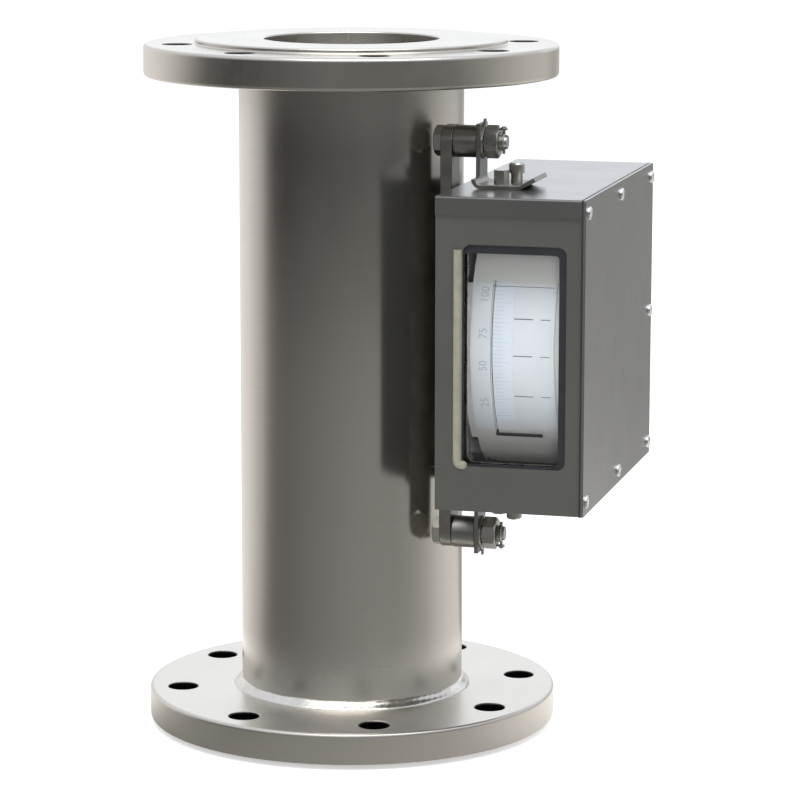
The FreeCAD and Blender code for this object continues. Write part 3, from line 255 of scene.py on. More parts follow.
def plain_paint(name, colour, roughness):
    """Smooth paint, print or plastic."""
    made = Finish(name, colour, roughness, 0.0, Specular_IOR_Level=0.45)
    made.tone(made.noise(0.02, 3.0), 0.025)
    made.sheen_of(made.noise(0.006, 2.0), roughness - 0.05, roughness + 0.06)
    made.bump(made.noise(0.0008, 2.0), 0.00002, 0.4)
    return made.material


def window_glass():
    """Clear glass that lets the studio's light into the case."""
    made = Finish("window glass", (0.97, 0.985, 0.98), 0.03, 0.0, Transmission_Weight=1.0, IOR=1.45)
    smears = made.noise(0.02, 3.0, (1, 1, 0.4))
    made.sheen_of(smears, 0.02, 0.06)
    clear = made.add("BsdfTransparent", Color=(0.93, 0.95, 0.95, 1))
    light = made.add("LightPath")
    passing = made.math("MAXIMUM", light.outputs["Is Shadow Ray"], light.outputs["Is Diffuse Ray"])
    made.output(made.mix(passing, made.surface, clear))
    return made.material


finishes = {
    "flange_steel": turned_steel("turned flange steel", (0.67, 0.635, 0.585), 0.30, True),
    "tube_steel": drawn_steel("drawn tube steel", (0.63, 0.605, 0.565), 0.19),
    "weld_steel": weld_steel(),
    "inner_steel": turned_steel("turned inner steel", (0.60, 0.59, 0.575), 0.28),
    "plated_steel": machined_steel("zinc plate", (0.50, 0.49, 0.46), 0.28, 0.14),
    "bracket_steel": machined_steel("bare bracket steel", (0.33, 0.32, 0.295), 0.38, 0.14),
    "case_paint": case_paint("case paint", (0.054, 0.054, 0.046)),
    "black_rubber": rubber("black rubber", (0.019, 0.0195, 0.022), 0.55),
    "cream_silicone": rubber("cream silicone", (0.215, 0.205, 0.152), 0.38),
    "window_glass": window_glass(),
    "dial_paint": plain_paint("dial grey", (0.62, 0.595, 0.575), 0.42),
    "scale_white": plain_paint("scale white", (0.645, 0.64, 0.665), 0.38),
    "pointer_black": plain_paint("pointer black", (0.022, 0.018, 0.018), 0.45),
    "aluminium": machined_steel("milled aluminium", (0.74, 0.75, 0.76), 0.34),
    "brass": machined_steel("turned brass", (0.72, 0.53, 0.26), 0.28),
    "magnet_ferrite": machined_steel("magnet ferrite", (0.12, 0.12, 0.125), 0.5),
    "ptfe": plain_paint("white bush plastic", (0.82, 0.82, 0.80), 0.5),
}
bright_screws = machined_steel("bright screw plate", (0.86, 0.86, 0.84), 0.2, 0.05)
# The scale print's colour also draws the painted shadow line along the scale's top
scale_print_and_shade = plain_paint("scale print", (0.10, 0.10, 0.115), 0.5)
scale_tint = plain_paint("scale tint", (0.66, 0.69, 0.75), 0.4)
fine_print = plain_paint("fine scale print", (0.40, 0.42, 0.46), 0.5)
# The shell takes a darker copy of the case paint: painted shade for the darker band along the top lip
shaded_shell_paint = case_paint("shell paint", (0.040, 0.040, 0.037))
slot_of = {part["node"]: part["material_slot"] for part in frame["record"]["subparts"]}


# Solids: welded, softly bevelled and smoothed by modifiers, in the finish of their slot

SHARP_FROM = 32
BEVEL_FROM = 38


def smooth_edges_tree():
    """Smooth shading, with edges kept sharp where they are bent more than SHARP_FROM."""
    tree = bpy.data.node_groups.new("smooth by edge angle", "GeometryNodeTree")
    tree.interface.new_socket("Mesh", in_out="INPUT", socket_type="NodeSocketGeometry")
    limit = tree.interface.new_socket("Sharp angle", in_out="INPUT", socket_type="NodeSocketFloat")
    limit.default_value = math.radians(SHARP_FROM)
    tree.interface.new_socket("Mesh", in_out="OUTPUT", socket_type="NodeSocketGeometry")
    start, end = tree.nodes.new("NodeGroupInput"), tree.nodes.new("NodeGroupOutput")
    soft = tree.nodes.new("GeometryNodeSetShadeSmooth")
    soft.domain = "FACE"
    hard = tree.nodes.new("GeometryNodeSetShadeSmooth")
    hard.domain = "EDGE"
    hard.inputs["Shade Smooth"].default_value = False
    angle = tree.nodes.new("GeometryNodeInputMeshEdgeAngle")
    above = tree.nodes.new("FunctionNodeCompare")
    above.operation = "GREATER_THAN"
    link = tree.links.new
    link(start.outputs[0], soft.inputs["Geometry"])
    link(soft.outputs[0], hard.inputs["Geometry"])
    link(angle.outputs["Unsigned Angle"], above.inputs[0])
    link(start.outputs[1], above.inputs[1])
    link(above.outputs[0], hard.inputs["Selection"])
    link(hard.outputs[0], end.inputs[0])
    return tree


smooth_edges = smooth_edges_tree()
edge_rounding = {
    "inlet_flange": 0.9, "outlet_flange": 0.9, "case_shell": 0.15, "front_panel": 0.25, "side_cover": 0.35,
    "upper_bracket": 0.5, "lower_bracket": 0.5, "bosses": 0.7,
    "mounting_plate": 0.6, "tab_washers": 0.2,
}
own_finish = {"movement_plate": finishes["dial_paint"], "case_shell": shaded_shell_paint}


def dress(name):
    """Gives a CAD node its finish and its soft edges."""
    item = nodes[name]
    finish = own_finish.get(name, finishes[slot_of[name]])
    if item.data.materials:
        for index in range(len(item.data.materials)):
            item.data.materials[index] = finish
    else:
        item.data.materials.append(finish)
    weld = item.modifiers.new("join corners", "WELD")
    weld.merge_threshold = 0.000002
    smooth = item.modifiers.new("smooth faces", "NODES")
    smooth.node_group = smooth_edges
    if name in edge_rounding:
        rounding = item.modifiers.new("soft edges", "BEVEL")
        rounding.width = edge_rounding[name] * MM
        rounding.segments = 3
        rounding.limit_method = "ANGLE"
        rounding.angle_limit = math.radians(BEVEL_FROM)
        level = item.modifiers.new("flat faces stay flat", "WEIGHTED_NORMAL")
        level.keep_sharp = True


# Mesh helpers

def link_object(name, data):
    item = bpy.data.objects.new(name, data)
    bpy.context.scene.collection.objects.link(item)
    return item


def evaluated_mesh(item):
    """The item's final shape as a mesh of its own."""
    return bpy.data.meshes.new_from_object(item.evaluated_get(bpy.context.evaluated_depsgraph_get()))


def to_object(name, body, mesh, finish, stands_for=()):
    """Makes a finished piece from a mesh, and lets it ride on a body."""
    piece = link_object(name, mesh)
    mesh.materials.clear()
    mesh.materials.append(finish)
    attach(piece, body)
    if stands_for:
        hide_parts(*stands_for)


def to_mesh(name, shape, smooth_angle=35):
    """Turns a bmesh into a mesh whose faces point outwards and are smooth below the angle."""
    bmesh.ops.recalc_face_normals(shape, faces=shape.faces)
    for face in shape.faces:
        face.smooth = True
    limit = math.radians(smooth_angle)
    for edge in shape.edges:
        edge.smooth = len(edge.link_faces) == 2 and edge.calc_face_angle(0) < limit
    mesh = bpy.data.meshes.new(name)
    shape.to_mesh(mesh)
    shape.free()
    return mesh


def bridge_rings(shape, rings):
    """Joins rings of points, one to the next, and closes the first and the last."""
    for first, second in zip(rings, rings[1:]):
        for step in range(len(first)):
            after = (step + 1) % len(first)
            shape.faces.new((first[step], first[after], second[after], second[step]))
    shape.faces.new(rings[0])
    shape.faces.new(rings[-1])


def lathe(shape, profile, count, outline=None):
    """Spins (radius, height) points round Z. outline(angle, radius, height) may reshape a point."""
    rows = []
    for radius, height in profile:
        if radius < 1e-9:
            rows.append([shape.verts.new((0, 0, height))])
            continue
        row = []
        for step in range(count):
            angle = 2 * math.pi * step / count
            r, z = outline(angle, radius, height) if outline else (radius, height)
            row.append(shape.verts.new((r * math.cos(angle), r * math.sin(angle), z)))
        rows.append(row)
    for low, high in zip(rows, rows[1:]):
        for step in range(count):
            after = (step + 1) % count
            corners = [low[step % len(low)], low[after % len(low)],
                       high[after % len(high)], high[step % len(high)]]
            corners = list(dict.fromkeys(corners))
            if len(corners) > 2:
                shape.faces.new(corners)


# Fasteners: one head of each kind, set in every place by Geometry Nodes

def fastener_tree():
    """Instances one fastener on each point, turned about its own axis by a seeded angle."""
    tree = bpy.data.node_groups.new("set fasteners", "GeometryNodeTree")
    sockets = tree.interface.new_socket
    sockets("Places", in_out="INPUT", socket_type="NodeSocketGeometry")
    names = {}
    for key, kind in (("Fastener", "Object"), ("Axis", "Rotation"), ("Size", "Float"), ("Seed", "Int"),
                      ("Finish", "Material")):
        names[key] = sockets(key, in_out="INPUT", socket_type="NodeSocket" + kind).identifier
    sockets("Set", in_out="OUTPUT", socket_type="NodeSocketGeometry")
    start, end = tree.nodes.new("NodeGroupInput"), tree.nodes.new("NodeGroupOutput")
    item = tree.nodes.new("GeometryNodeObjectInfo")
    setting = tree.nodes.new("GeometryNodeInstanceOnPoints")
    spin = tree.nodes.new("FunctionNodeRandomValue")
    spin.data_type = "FLOAT"
    spin.inputs[3].default_value = 2 * math.pi
    about = tree.nodes.new("FunctionNodeAxisAngleToRotation")
    about.inputs["Axis"].default_value = (0, 0, 1)
    turned = tree.nodes.new("FunctionNodeRotateRotation")
    turned.rotation_space = "LOCAL"
    whole = tree.nodes.new("GeometryNodeRealizeInstances")
    painted = tree.nodes.new("GeometryNodeSetMaterial")
    link = tree.links.new
    link(start.outputs["Places"], setting.inputs["Points"])
    link(start.outputs["Fastener"], item.inputs["Object"])
    link(item.outputs["Geometry"], setting.inputs["Instance"])
    link(start.outputs["Seed"], spin.inputs["Seed"])
    link(spin.outputs[1], about.inputs["Angle"])
    link(start.outputs["Axis"], turned.inputs["Rotation"])
    link(about.outputs["Rotation"], turned.inputs["Rotate By"])
    link(turned.outputs["Rotation"], setting.inputs["Rotation"])
    link(start.outputs["Size"], setting.inputs["Scale"])
    link(setting.outputs["Instances"], whole.inputs["Geometry"])
    link(whole.outputs["Geometry"], painted.inputs["Geometry"])
    link(start.outputs["Finish"], painted.inputs["Material"])
    link(painted.outputs["Geometry"], end.inputs["Set"])
    return tree, names


fasteners, fastener_inputs = fastener_tree()


def set_fasteners(name, fastener_mesh, places, finish, seed, stands_for):
    """Sets the fastener in each place, its own Z along +X, and keeps the result as one plain mesh."""
    model = link_object(name + " model", fastener_mesh)
    points = bpy.data.meshes.new(name + " places")
    points.from_pydata([tuple(c * MM for c in place) for place in places], [], [])
    carrier = link_object(name + " carrier", points)
    modifier = carrier.modifiers.new("set fasteners", "NODES")
    modifier.node_group = fasteners
    turn = Vector((1, 0, 0)).to_track_quat("Z", "Y").to_euler()
    values = {"Fastener": model, "Axis": turn, "Size": 1.0, "Seed": seed, "Finish": finish}
    for key, value in values.items():
        modifier[fastener_inputs[key]] = value
    mesh = evaluated_mesh(carrier)
    mesh.name = name
    carrier.modifiers.clear()
    bpy.data.objects.remove(carrier)
    bpy.data.objects.remove(model)
    to_object(name, "meter", mesh, finish, (stands_for,))


def thread_profile(radius, depth, pitch, start, end):
    """Zigzag points for the crests and roots of a thread."""
    points = []
    turns = int((end - start) / pitch)
    for turn in range(turns):
        low = start + turn * pitch
        points += [(radius - depth, low), (radius, low + pitch * 0.45), (radius, low + pitch * 0.55)]
    points.append((radius - depth, start + turns * pitch))
    return points


def scaled(profile):
    """The profile's millimetres in metres."""
    return [(radius * MM, height * MM) for radius, height in profile]


def pan_screw(head_radius, head_height, shank_radius, shank_length, slot_width, slot_depth):
    """A slotted pan head on a threaded shank; the head's seat is at height 0."""
    shape = bmesh.new()
    dome = [(head_radius * math.cos(a), head_height * (0.45 + 0.55 * math.sin(a)))
            for a in (math.radians(d) for d in range(0, 91, 15))]
    profile = [(0, -shank_length), (shank_radius - 0.5, -shank_length)]
    profile += thread_profile(shank_radius, 0.35, 0.8, 0.4 - shank_length, -0.8)
    profile += [(shank_radius, 0), (head_radius, 0)] + dome[:-1] + [(0, head_height)]
    lathe(shape, scaled(profile), 40)
    mesh = to_mesh("pan screw", shape)
    cutter = bmesh.new()
    size = Matrix.Diagonal((head_radius * 2.4 * MM, slot_width * MM, slot_depth * 2 * MM, 1))
    bmesh.ops.create_cube(cutter, size=1.0, matrix=Matrix.Translation((0, 0, head_height * MM)) @ size)
    return cut(mesh, to_mesh("slot", cutter, 20))


def cut(mesh, tool_mesh):
    """The mesh with the tool's shape taken away."""
    whole = link_object("whole", mesh)
    tool = link_object("tool", tool_mesh)
    boolean = whole.modifiers.new("cut", "BOOLEAN")
    boolean.operation = "DIFFERENCE"
    boolean.object = tool
    boolean.solver = "EXACT"
    result = evaluated_mesh(whole)
    bpy.data.objects.remove(whole)
    bpy.data.objects.remove(tool)
    shape = bmesh.new()
    shape.from_mesh(result)
    bmesh.ops.remove_doubles(shape, verts=shape.verts, dist=1e-6)
    return to_mesh("cut shape", shape)


CORNER_TURNED_TO = 0.96


def hexagon_outline(flats, middle, both_ends=True):
    """Reshapes a profile's far points to a hexagon, its corners turned off at the low end or at both ends."""
    inner = flats / 2 * MM * CORNER_TURNED_TO

    def outline(angle, radius, height):
        if radius < flats * MM:
            return radius, height
        part = (angle + math.pi / 6) % (math.pi / 3) - math.pi / 6
        side = flats * MM / 2 / math.cos(part)
        drop = (side - inner) * math.tan(math.radians(30))
        if height < middle * MM:
            return side, height + drop
        return side, height - (drop if both_ends else 0)
    return outline


def nut_mesh(flats, height, bore_radius):
    """A hexagon nut from height 0, with its corners turned off and a threaded bore."""
    far = 3 * flats
    rim = flats / 2 * CORNER_TURNED_TO
    mouth = bore_radius + 0.8
    shape = bmesh.new()
    bore_side = thread_profile(bore_radius, -0.35, 1.0, 0.6, height - 0.6)
    profile = [(mouth, 0), (rim, 0), (far, 0), (far, height), (rim, height), (mouth, height)]
    lathe(shape, scaled(profile + bore_side[::-1] + [(mouth, 0)]), 72, hexagon_outline(flats, height / 2))
    bmesh.ops.remove_doubles(shape, verts=shape.verts, dist=2e-6)
    return to_mesh("nut", shape, 28)


def bolt_mesh(flats, head_height, radius, length, thread_length, pitch=1.25):
    """A hexagon bolt: its head is below height 0 and its shank above."""
    far = 3 * flats
    start = length - thread_length
    shape = bmesh.new()
    profile = [(0, -head_height), (flats / 2 * CORNER_TURNED_TO, -head_height), (far, -head_height), (far, 0),
               (radius, 0), (radius, start)]
    profile += thread_profile(radius, pitch * 0.55, pitch, start + 0.3, length - 1.0)
    profile += [(radius - 1.0, length), (0, length)]
    lathe(shape, scaled(profile), 72, hexagon_outline(flats, -head_height / 2, both_ends=False))
    bmesh.ops.remove_doubles(shape, verts=shape.verts, dist=2e-6)
    return to_mesh("bolt", shape, 28)


SCREW_INSET = 8.0
BOSS_RADIUS = 9.5
BOLT_HEAD_SEAT = 68
cover_low, cover_high = (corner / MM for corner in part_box("side_cover"))
cover_rows = (cover_low.z + SCREW_INSET, cover_high.z - SCREW_INSET)
cover_reach = cover_high.y - SCREW_INSET
cover_places = [(cover_high.x, side * cover_reach, row) for row in cover_rows for side in (-1, 0, 1)]
cover_places.append((cover_high.x, cover_reach, sum(cover_rows) / 2))
boss_low, boss_high = (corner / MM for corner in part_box("bosses"))
bolt_across = boss_low.y + BOSS_RADIUS
bolt_rows = (boss_low.z + BOSS_RADIUS, boss_high.z - BOSS_RADIUS)
bolt_places = [(BOLT_HEAD_SEAT, bolt_across, row) for row in bolt_rows]
set_fasteners("cover_screw_set", pan_screw(3.8, 2.0, 2.0, 11.8, 0.9, 0.8), cover_places, bright_screws, 4,
              "cover_screws")
set_fasteners("bracket_bolt_set", bolt_mesh(16, 5, 5.0, 38.3, 13.0), bolt_places, finishes["plated_steel"], 0,
              "bracket_bolts")
nut_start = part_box("bracket_nuts")[0].x / MM
set_fasteners("bracket_nut_set", nut_mesh(17, 8.4, 5.0), [(nut_start, y, z) for _, y, z in bolt_places],
              finishes["plated_steel"], 6, "bracket_nuts")


# Welds: a rippled fillet round the tube at each flange

WELD_LEG = 4.6
WELD_RADIUS = 68.2
WELD_HEIGHTS = ((22, 1), (398, -1))
WELD_SECTIONS = 720
WELD_STEPS = 9
SECTIONS_A_RIPPLE = 8


def weld_section(angle, phase):
    """The fillet's outline as (radius, height above the flange); phase runs from 0 to 1 along each ripple."""
    wander = 0.22 * math.sin(angle * 7 + 1.3) + 0.16 * math.sin(angle * 17 + 0.4)
    swell = WELD_LEG + wander + 0.07 * abs(math.sin(math.pi * phase))
    outline = [(WELD_RADIUS - 0.6, -0.05), (WELD_RADIUS - 0.6, swell)]
    for step in range(WELD_STEPS):
        turn = math.pi / 2 * step / (WELD_STEPS - 1)
        belly = swell * (1 - 0.30 * math.sin(2 * turn))
        lift = 0.05 * math.sin(2 * math.pi * (phase + step / WELD_STEPS * 0.5)) * math.sin(2 * turn)
        outline.append((WELD_RADIUS + math.sin(turn) * (belly + lift), math.cos(turn) * (belly + lift)))
    outline.append((WELD_RADIUS + swell, -0.05))
    return outline


def ripple_weld(height, up):
    """A fillet with overlapping ripples, drawn as a closed ring of sections."""
    shape = bmesh.new()
    rings = []
    for index in range(WELD_SECTIONS):
        angle = 2 * math.pi * index / WELD_SECTIONS
        cosine, sine = math.cos(angle), math.sin(angle)
        outline = weld_section(angle, index % SECTIONS_A_RIPPLE / SECTIONS_A_RIPPLE)
        rings.append([shape.verts.new((r * MM * cosine, r * MM * sine, (height + up * z) * MM))
                      for r, z in outline])
    for first, second in zip(rings, rings[1:] + rings[:1]):
        for step in range(len(first)):
            after = (step + 1) % len(first)
            shape.faces.new((first[step], second[step], second[after], first[after]))
    return shape


def make_tube_welds():
    low, high = (ripple_weld(height, up) for height, up in WELD_HEIGHTS)
    low.from_mesh(to_mesh("outlet weld", high, 60))
    to_object("tube_weld_beads", "meter", to_mesh("tube_weld_beads", low, 60), finishes["weld_steel"],
              ("tube_welds",))


make_tube_welds()


# Seal strip: a soft half-round bead beside the window, with a hooked foot

SEAL_HALF_WIDTH = 2.5
SEAL_FOOT = 2.2
SEAL_BEND = 2.6


def half_round(shape, centre, side, height, top):
    """Half a rounded section across the bead, standing height proud of the panel."""
    angles = [math.pi * k / 12 for k in range(13)]
    return [shape.verts.new(Vector((centre[0] + side[0] * math.cos(a), top - height * math.sin(a) ** 0.7,
                                    centre[1] + side[1] * math.cos(a))) * MM) for a in angles]


def seal_line(low, high):
    """The bead's middle as (x, z): down the window's side and round a quarter bend."""
    across, bend_top = low.x + SEAL_HALF_WIDTH, low.z + SEAL_FOOT + SEAL_BEND
    line = [(across, high.z - step * 4) for step in range(int((high.z - bend_top) / 4) + 1)]
    line = [(x, z) for x, z in line if z > bend_top]
    for step in range(9):
        turn = math.pi / 2 * step / 8
        line.append((across + SEAL_BEND * (1 - math.cos(turn)), bend_top - SEAL_BEND * math.sin(turn)))
    line.append((high.x - SEAL_FOOT, low.z + SEAL_FOOT))
    return line


def make_window_seal():
    low, high = (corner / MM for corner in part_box("window_seal"))
    proud = high.y - low.y
    line = seal_line(low, high)
    shape = bmesh.new()
    rings = []
    for index, place in enumerate(line):
        before, after = line[max(index - 1, 0)], line[min(index + 1, len(line) - 1)]
        along = Vector((after[0] - before[0], after[1] - before[1])).normalized()
        side = (-along.y * SEAL_HALF_WIDTH, along.x * SEAL_HALF_WIDTH)
        rings.append(half_round(shape, place, side, proud, high.y))
    for step in range(1, 6):
        turn = math.pi / 2 * step / 5
        end = (line[-1][0] + SEAL_HALF_WIDTH * math.sin(turn), line[-1][1])
        side = (0, SEAL_HALF_WIDTH * math.cos(turn))
        rings.append(half_round(shape, end, side, proud * math.cos(turn), high.y))
    bridge_rings(shape, rings)
    bmesh.ops.remove_doubles(shape, verts=shape.verts, dist=1e-6)
    to_object("window_seal_bead", "meter", to_mesh("window_seal_bead", shape, 50), finishes["cream_silicone"],
              ("window_seal",))


make_window_seal()


# Scale: printed marks, numbers, a tinted column and a painted shadow line, laid on the curved white plate

PLATE_RADIUS = 85.5
AXIS_HEIGHT = 249.0


PRINT_PROUD = 0.06
MAJOR_HEIGHTS = (266.4, 245.0, 220.7)
SCALE_TOP = 284.0
SCALE_FOOT = 207.0
COLUMN_START = 108.4
COLUMN_END = 119.6
NUMBERS = (("100", 279.5), ("75", 257.5), ("50", 238.4), ("25", 216.0))
NUMBER_CENTRE = 102.6
NUMBER_SIZE = 7.6


def round_spindle(x, radius, angle):
    """A point at a radius from the spindle's axis and an angle above the level line, in front of the axis."""
    return Vector((x * MM, -radius * math.cos(angle) * MM, (AXIS_HEIGHT + radius * math.sin(angle)) * MM))


def on_plate(x, up, proud):
    """A point on the scale: x along the spindle, up measured along the curve from the level line."""
    return round_spindle(x, PLATE_RADIUS + proud, up / PLATE_RADIUS)


def curved_patch(shape, start, end, low, high, proud):
    """A thin patch that follows the curve, for print and for the painted shadow line."""
    rows = max(1, int((high - low) / 3))
    grid = []
    for row in range(rows + 1):
        up = low + (high - low) * row / rows
        grid.append([shape.verts.new(on_plate(start, up, proud)), shape.verts.new(on_plate(end, up, proud))])
    for first, second in zip(grid, grid[1:]):
        shape.faces.new((first[0], first[1], second[1], second[0]))


def arc_up(height):
    """How far along the curve a height above the floor lies."""
    return PLATE_RADIUS * math.asin((height - AXIS_HEIGHT) / PLATE_RADIUS)


def finished_mesh(name, shape):
    """The shape as a mesh, as it is."""
    mesh = bpy.data.meshes.new(name)
    shape.to_mesh(mesh)
    shape.free()
    return mesh


def print_patches(name, patches, proud, finish):
    """Lays (start, end, low, high) patches on the scale as one piece."""
    shape = bmesh.new()
    for start, end, low, high in patches:
        curved_patch(shape, start, end, low, high, proud)
    for face in shape.faces:
        face.smooth = True
    to_object(name, "meter", finished_mesh(name, shape), finish)


def make_scale_print_and_shadow_line():
    """A painted shadow line across the top, three rows of short lines, fine graduations and a tinted column.
    """
    top, foot = arc_up(SCALE_TOP), arc_up(SCALE_FOOT)
    majors = [arc_up(height) for height in MAJOR_HEIGHTS]
    marks = []
    for up in majors:
        marks.append((120.4, 131.7, up - 0.28, up + 0.28))
        marks.append((136.2, 142.0, up - 0.22, up + 0.22))
    # Painted shadow: a dark line along the scale's top edge, standing in for the shade there
    marks.append((106.5, 142.8, top + 0.2, top + 0.55))
    fine = []
    step = (majors[0] - majors[2]) / 20
    for index in range(int((top - foot) / step) + 1):
        up = foot + 1.0 + index * step
        reach = 9.5 if index % 5 == 0 else 5.5
        if up < top:
            fine.append((108.6, 108.6 + reach, up - 0.09, up + 0.09))
    column = [(COLUMN_START, COLUMN_END, foot - 2, top)]
    print_patches("scale_marks", marks, PRINT_PROUD, scale_print_and_shade)
    print_patches("scale_graduations", fine, PRINT_PROUD + 0.01, fine_print)
    print_patches("scale_column", column, PRINT_PROUD / 2, scale_tint)


def make_numbers():
    """Numbers up the left column, made flat, turned to mesh and wrapped on the curve."""
    shape = bmesh.new()
    for label, height in NUMBERS:
        font = bpy.data.curves.new("number " + label, "FONT")
        font.body = label
        font.size = NUMBER_SIZE
        font.align_x = "CENTER"
        font.align_y = "CENTER"
        font.resolution_u = 3
        item = link_object("number " + label, font)
        flat = evaluated_mesh(item)
        bpy.data.objects.remove(item)
        base = arc_up(height)
        for vertex in flat.vertices:
            vertex.co = on_plate(NUMBER_CENTRE - vertex.co.y * 0.9, base + vertex.co.x * 0.85, PRINT_PROUD)
        shape.from_mesh(flat)
    to_object("scale_numbers", "meter", finished_mesh("scale_numbers", shape), fine_print)


def arc_strip(shape, start, end, inner, outer, low, high, steps=40):
    """A closed curved strip round the spindle, from angle low to angle high in degrees."""
    corners = ((start, inner), (end, inner), (end, outer), (start, outer))
    rings = []
    for index in range(steps + 1):
        angle = math.radians(low + (high - low) * index / steps)
        rings.append([shape.verts.new(round_spindle(x, radius, angle)) for x, radius in corners])
    bridge_rings(shape, rings)


def make_dial_trim():
    """The dial's set-back edge, the scale's margin, and the brush that closes the pointer's slot."""
    trims = (
        ("dial_edge", "dial_paint", [(90.6, 97.0, 83.0, 83.9, -43, 25.8)]),
        ("scale_margin", "scale_white", [(95.0, 99.05, 85.04, 85.44, -36, 25.8)]),
        ("slot_brush", "scale_white",
         [(105.7, 107.3, 83.2, 83.9, -44, 29), (107.7, 109.3, 83.2, 83.9, -44, 29)]),
    )
    for name, slot, strips in trims:
        shape = bmesh.new()
        for strip in strips:
            arc_strip(shape, *strip)
        to_object(name, "meter", to_mesh(name, shape), finishes[slot])


make_scale_print_and_shadow_line()
make_numbers()
make_dial_trim()

for name in nodes:
    dress(name)


# Studio: floor, world, lamps and camera

CAMERA_AT = Vector((0.54562, -1.97636, 0.56463))
LOOKING = Vector((-0.24831, 0.95262, -0.17569))
UPWARD = Vector((-0.04571, 0.16964, 0.98444))
# Radius of the painted shadow on the floor under the flange, in metres
SHADOWED_FLOOR_RADIUS = 0.110
PAGE_GLOW = 0.36
SKY = (0.86, 0.90, 0.97, 1)
SKY_FROM = (0.10, 0.65)
WARM = (1.0, 0.985, 0.955, 1)
# How much the floor adds near the object and far from it, and the radii between which this changes, in metres
NEAR = 1.2
FAR = 0.4
NEAR_UNTIL = (1.5, 2.35)
CLOSE_UNTIL = (0.21, 0.25)
# The room by its angle from the front, in degrees: its steady brightness, what the floor adds near the
# object, and what the paper close round the foot adds in the flange's rim. The room is dark in front, near
# white at the left rear and grey at the right rear, with a darker gap beside the white at the back.
ROOM = [(-180, 0.85, 0.05, 0.3), (-135, 1.0, 0.0, 0.4), (-115, 0.95, 0.0, 0.5), (-100, 0.74, 0.0, 0.5),
        (-88, 0.50, 0.04, 0.5), (-78, 0.16, 0.12, 0.46), (-68, 0.03, 0.14, 0.30), (-54, 0.0, 0.15, 0.15),
        (-32, 0.005, 0.175, 0.06), (11, 0.02, 0.225, 0.06), (36, 0.02, 0.25, 0.10), (60, 0.0, 0.27, 0.22),
        (76, 0.06, 0.26, 0.38), (90, 0.16, 0.25, 0.46), (106, 0.34, 0.26, 0.5), (126, 0.50, 0.28, 0.5),
        (150, 0.62, 0.20, 0.4), (164, 0.26, 0.02, 0.35), (180, 0.85, 0.05, 0.3)]


def room_light(graph, place, nearness, closeness):
    """The room's brightness by the place's angle round the object; Z of the place comes with it."""
    parts = graph.add("SeparateXYZ", Vector=place)
    turn = graph.math("ARCTAN2", parts.outputs["X"], graph.math("MULTIPLY", parts.outputs["Y"], -1.0))
    ramp = graph.add("ValToRGB")
    band = ramp.color_ramp
    while len(band.elements) < len(ROOM):
        band.elements.new(0.5)
    for element, (angle, steady, near, close) in zip(band.elements, ROOM):
        element.position = (angle + 180) / 360
        element.color = (steady, near, close, 1)
    graph.link(graph.ranged(turn, 0.0, 1.0, -math.pi, math.pi), ramp.inputs[0])
    shares = graph.add("SeparateColor")
    graph.link(ramp.outputs[0], shares.inputs[0])
    near_part = graph.math("MULTIPLY", shares.outputs["Green"], nearness)
    close_part = graph.math("MULTIPLY", shares.outputs["Blue"], closeness)
    total = graph.math("ADD", graph.math("ADD", shares.outputs["Red"], near_part), close_part)
    return total, parts.outputs["Z"]


def make_world():
    """The room's light by angle, a pale sky above, and a white page to the camera."""
    world = bpy.data.worlds.new("studio")
    bpy.context.scene.world = world
    world.use_nodes = True
    graph = Graph(world.node_tree)
    place = graph.add("TexCoord").outputs["Generated"]
    light, height = room_light(graph, place, FAR, 0.0)
    sky = graph.add("Mix", data_type="RGBA")
    graph.link(graph.ranged(height, 0.0, 1.0, *SKY_FROM), sky.inputs["Factor"])
    graph.link(light, sky.inputs[6])
    sky.inputs[7].default_value = SKY
    page = graph.add("Mix", data_type="RGBA")
    graph.link(graph.add("LightPath").outputs["Is Camera Ray"], page.inputs["Factor"])
    graph.link(sky.outputs[2], page.inputs[6])
    page.inputs[7].default_value = WHITE_PAGE
    back = graph.tree.nodes["Background"]
    graph.link(page.outputs[2], back.inputs["Color"])
    back.inputs["Strength"].default_value = 1.0


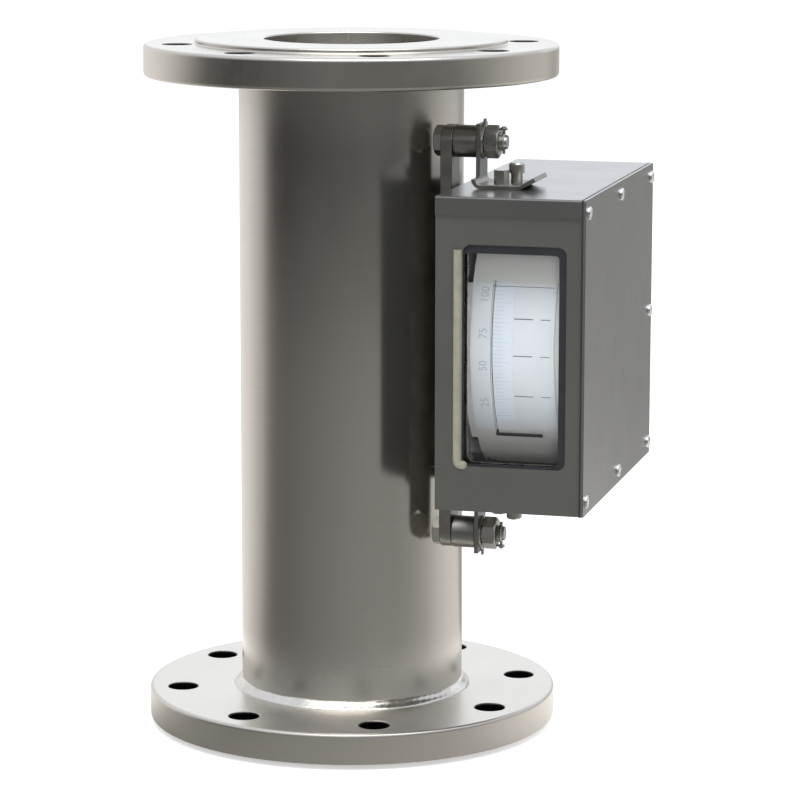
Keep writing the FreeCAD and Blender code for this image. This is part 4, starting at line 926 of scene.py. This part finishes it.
def make_floor():
    """A floor that is a white page to the camera, and shows the room's light to the metal, with a painted
    shadow under the flange.
    """
    bpy.ops.mesh.primitive_circle_add(vertices=128, radius=30, fill_type="NGON")
    floor = bpy.context.object
    floor.name = "studio_floor"
    floor.location.z = 0.0
    made = Finish("studio floor paper", (0.86, 0.86, 0.86), 0.9, 0.0)
    made.tone(made.noise(0.4, 2.0), 0.004)
    reach = made.radius()
    # Painted shadow: the floor's paper is darkened under the flange
    made.tone(made.ranged(reach, 0.3, 0.5, SHADOWED_FLOOR_RADIUS, SHADOWED_FLOOR_RADIUS + 0.002), 0.95)
    light, _ = room_light(made, made.place(), made.ranged(reach, NEAR, FAR, *NEAR_UNTIL),
                          made.ranged(reach, 1.0, 0.0, *CLOSE_UNTIL))
    warm = made.add("Mix", data_type="RGBA", blend_type="MULTIPLY")
    warm.inputs["Factor"].default_value = 1.0
    warm.inputs[7].default_value = WARM
    made.link(light, warm.inputs[6])
    # Painted shadow: under the flange the floor gives no light to the camera or to the metal
    unshadowed_floor = made.math("GREATER_THAN", reach, SHADOWED_FLOOR_RADIUS)
    in_metal = made.add("Emission", Color=warm.outputs[2], Strength=unshadowed_floor)
    page = made.add("Emission", Color=WHITE_PAGE, Strength=made.math("MULTIPLY", unshadowed_floor, PAGE_GLOW))
    lit = made.add("AddShader")
    made.link(made.surface.outputs[0], lit.inputs[0])
    made.link(page.outputs[0], lit.inputs[1])
    rays = made.add("LightPath").outputs
    seen = made.mix(rays["Is Camera Ray"], made.surface, lit)
    made.output(made.mix(rays["Is Glossy Ray"], seen, in_metal))
    floor.data.materials.append(made.material)


def make_lamp(name, place, size, power, target=(0, 0, 0.2), colour=(1, 1, 1), mirrored=True):
    """A softbox that points at the target; where it isn't mirrored, metal doesn't show it."""
    lamp = bpy.data.lights.new(name, "AREA")
    lamp.shape = "RECTANGLE"
    lamp.size, lamp.size_y = size
    lamp.energy = power
    lamp.color = colour
    item = link_object(name, lamp)
    item.location = place
    item.visible_glossy = mirrored
    item.rotation_mode = "QUATERNION"
    item.rotation_quaternion = (Vector(target) - Vector(place)).to_track_quat("-Z", "Y")


def make_camera():
    """The camera of the photo, solved from the flanges, the tube and the case."""
    camera = bpy.data.cameras.new("camera")
    camera.sensor_width = 36
    camera.lens = 153
    camera.clip_end = 100
    item = link_object("camera", camera)
    across = LOOKING.cross(UPWARD).normalized()
    turn = Matrix((across, UPWARD, -LOOKING)).transposed().to_4x4()
    item.matrix_world = Matrix.Translation(CAMERA_AT) @ turn
    bpy.context.scene.camera = item


make_world()
make_floor()
make_lamp("overhead softbox", (0.4, -0.9, 2.3), (2.4, 1.8), 34, colour=(1.0, 0.99, 0.97))
make_lamp("rear softbox", (0.2, 2.3, 0.85), (2.8, 0.8), 3.5, target=(0, 0, 0.3), colour=(0.80, 0.90, 1.0))
make_lamp("front fill", (0.75, -2.8, 0.78), (1.0, 0.5), 17, target=(0.1, 0, 0.25), mirrored=False)
make_lamp("window fill", (0.6, -1.9, 0.30), (0.3, 0.2), 8, target=(0.12, -0.08, 0.21), mirrored=False)
make_lamp("left fill", (-1.7, -1.3, 0.5), (0.8, 0.8), 14, target=(0.08, -0.08, 0.25), mirrored=False)
make_camera()
bpy.context.scene.view_settings.view_transform = "Standard"
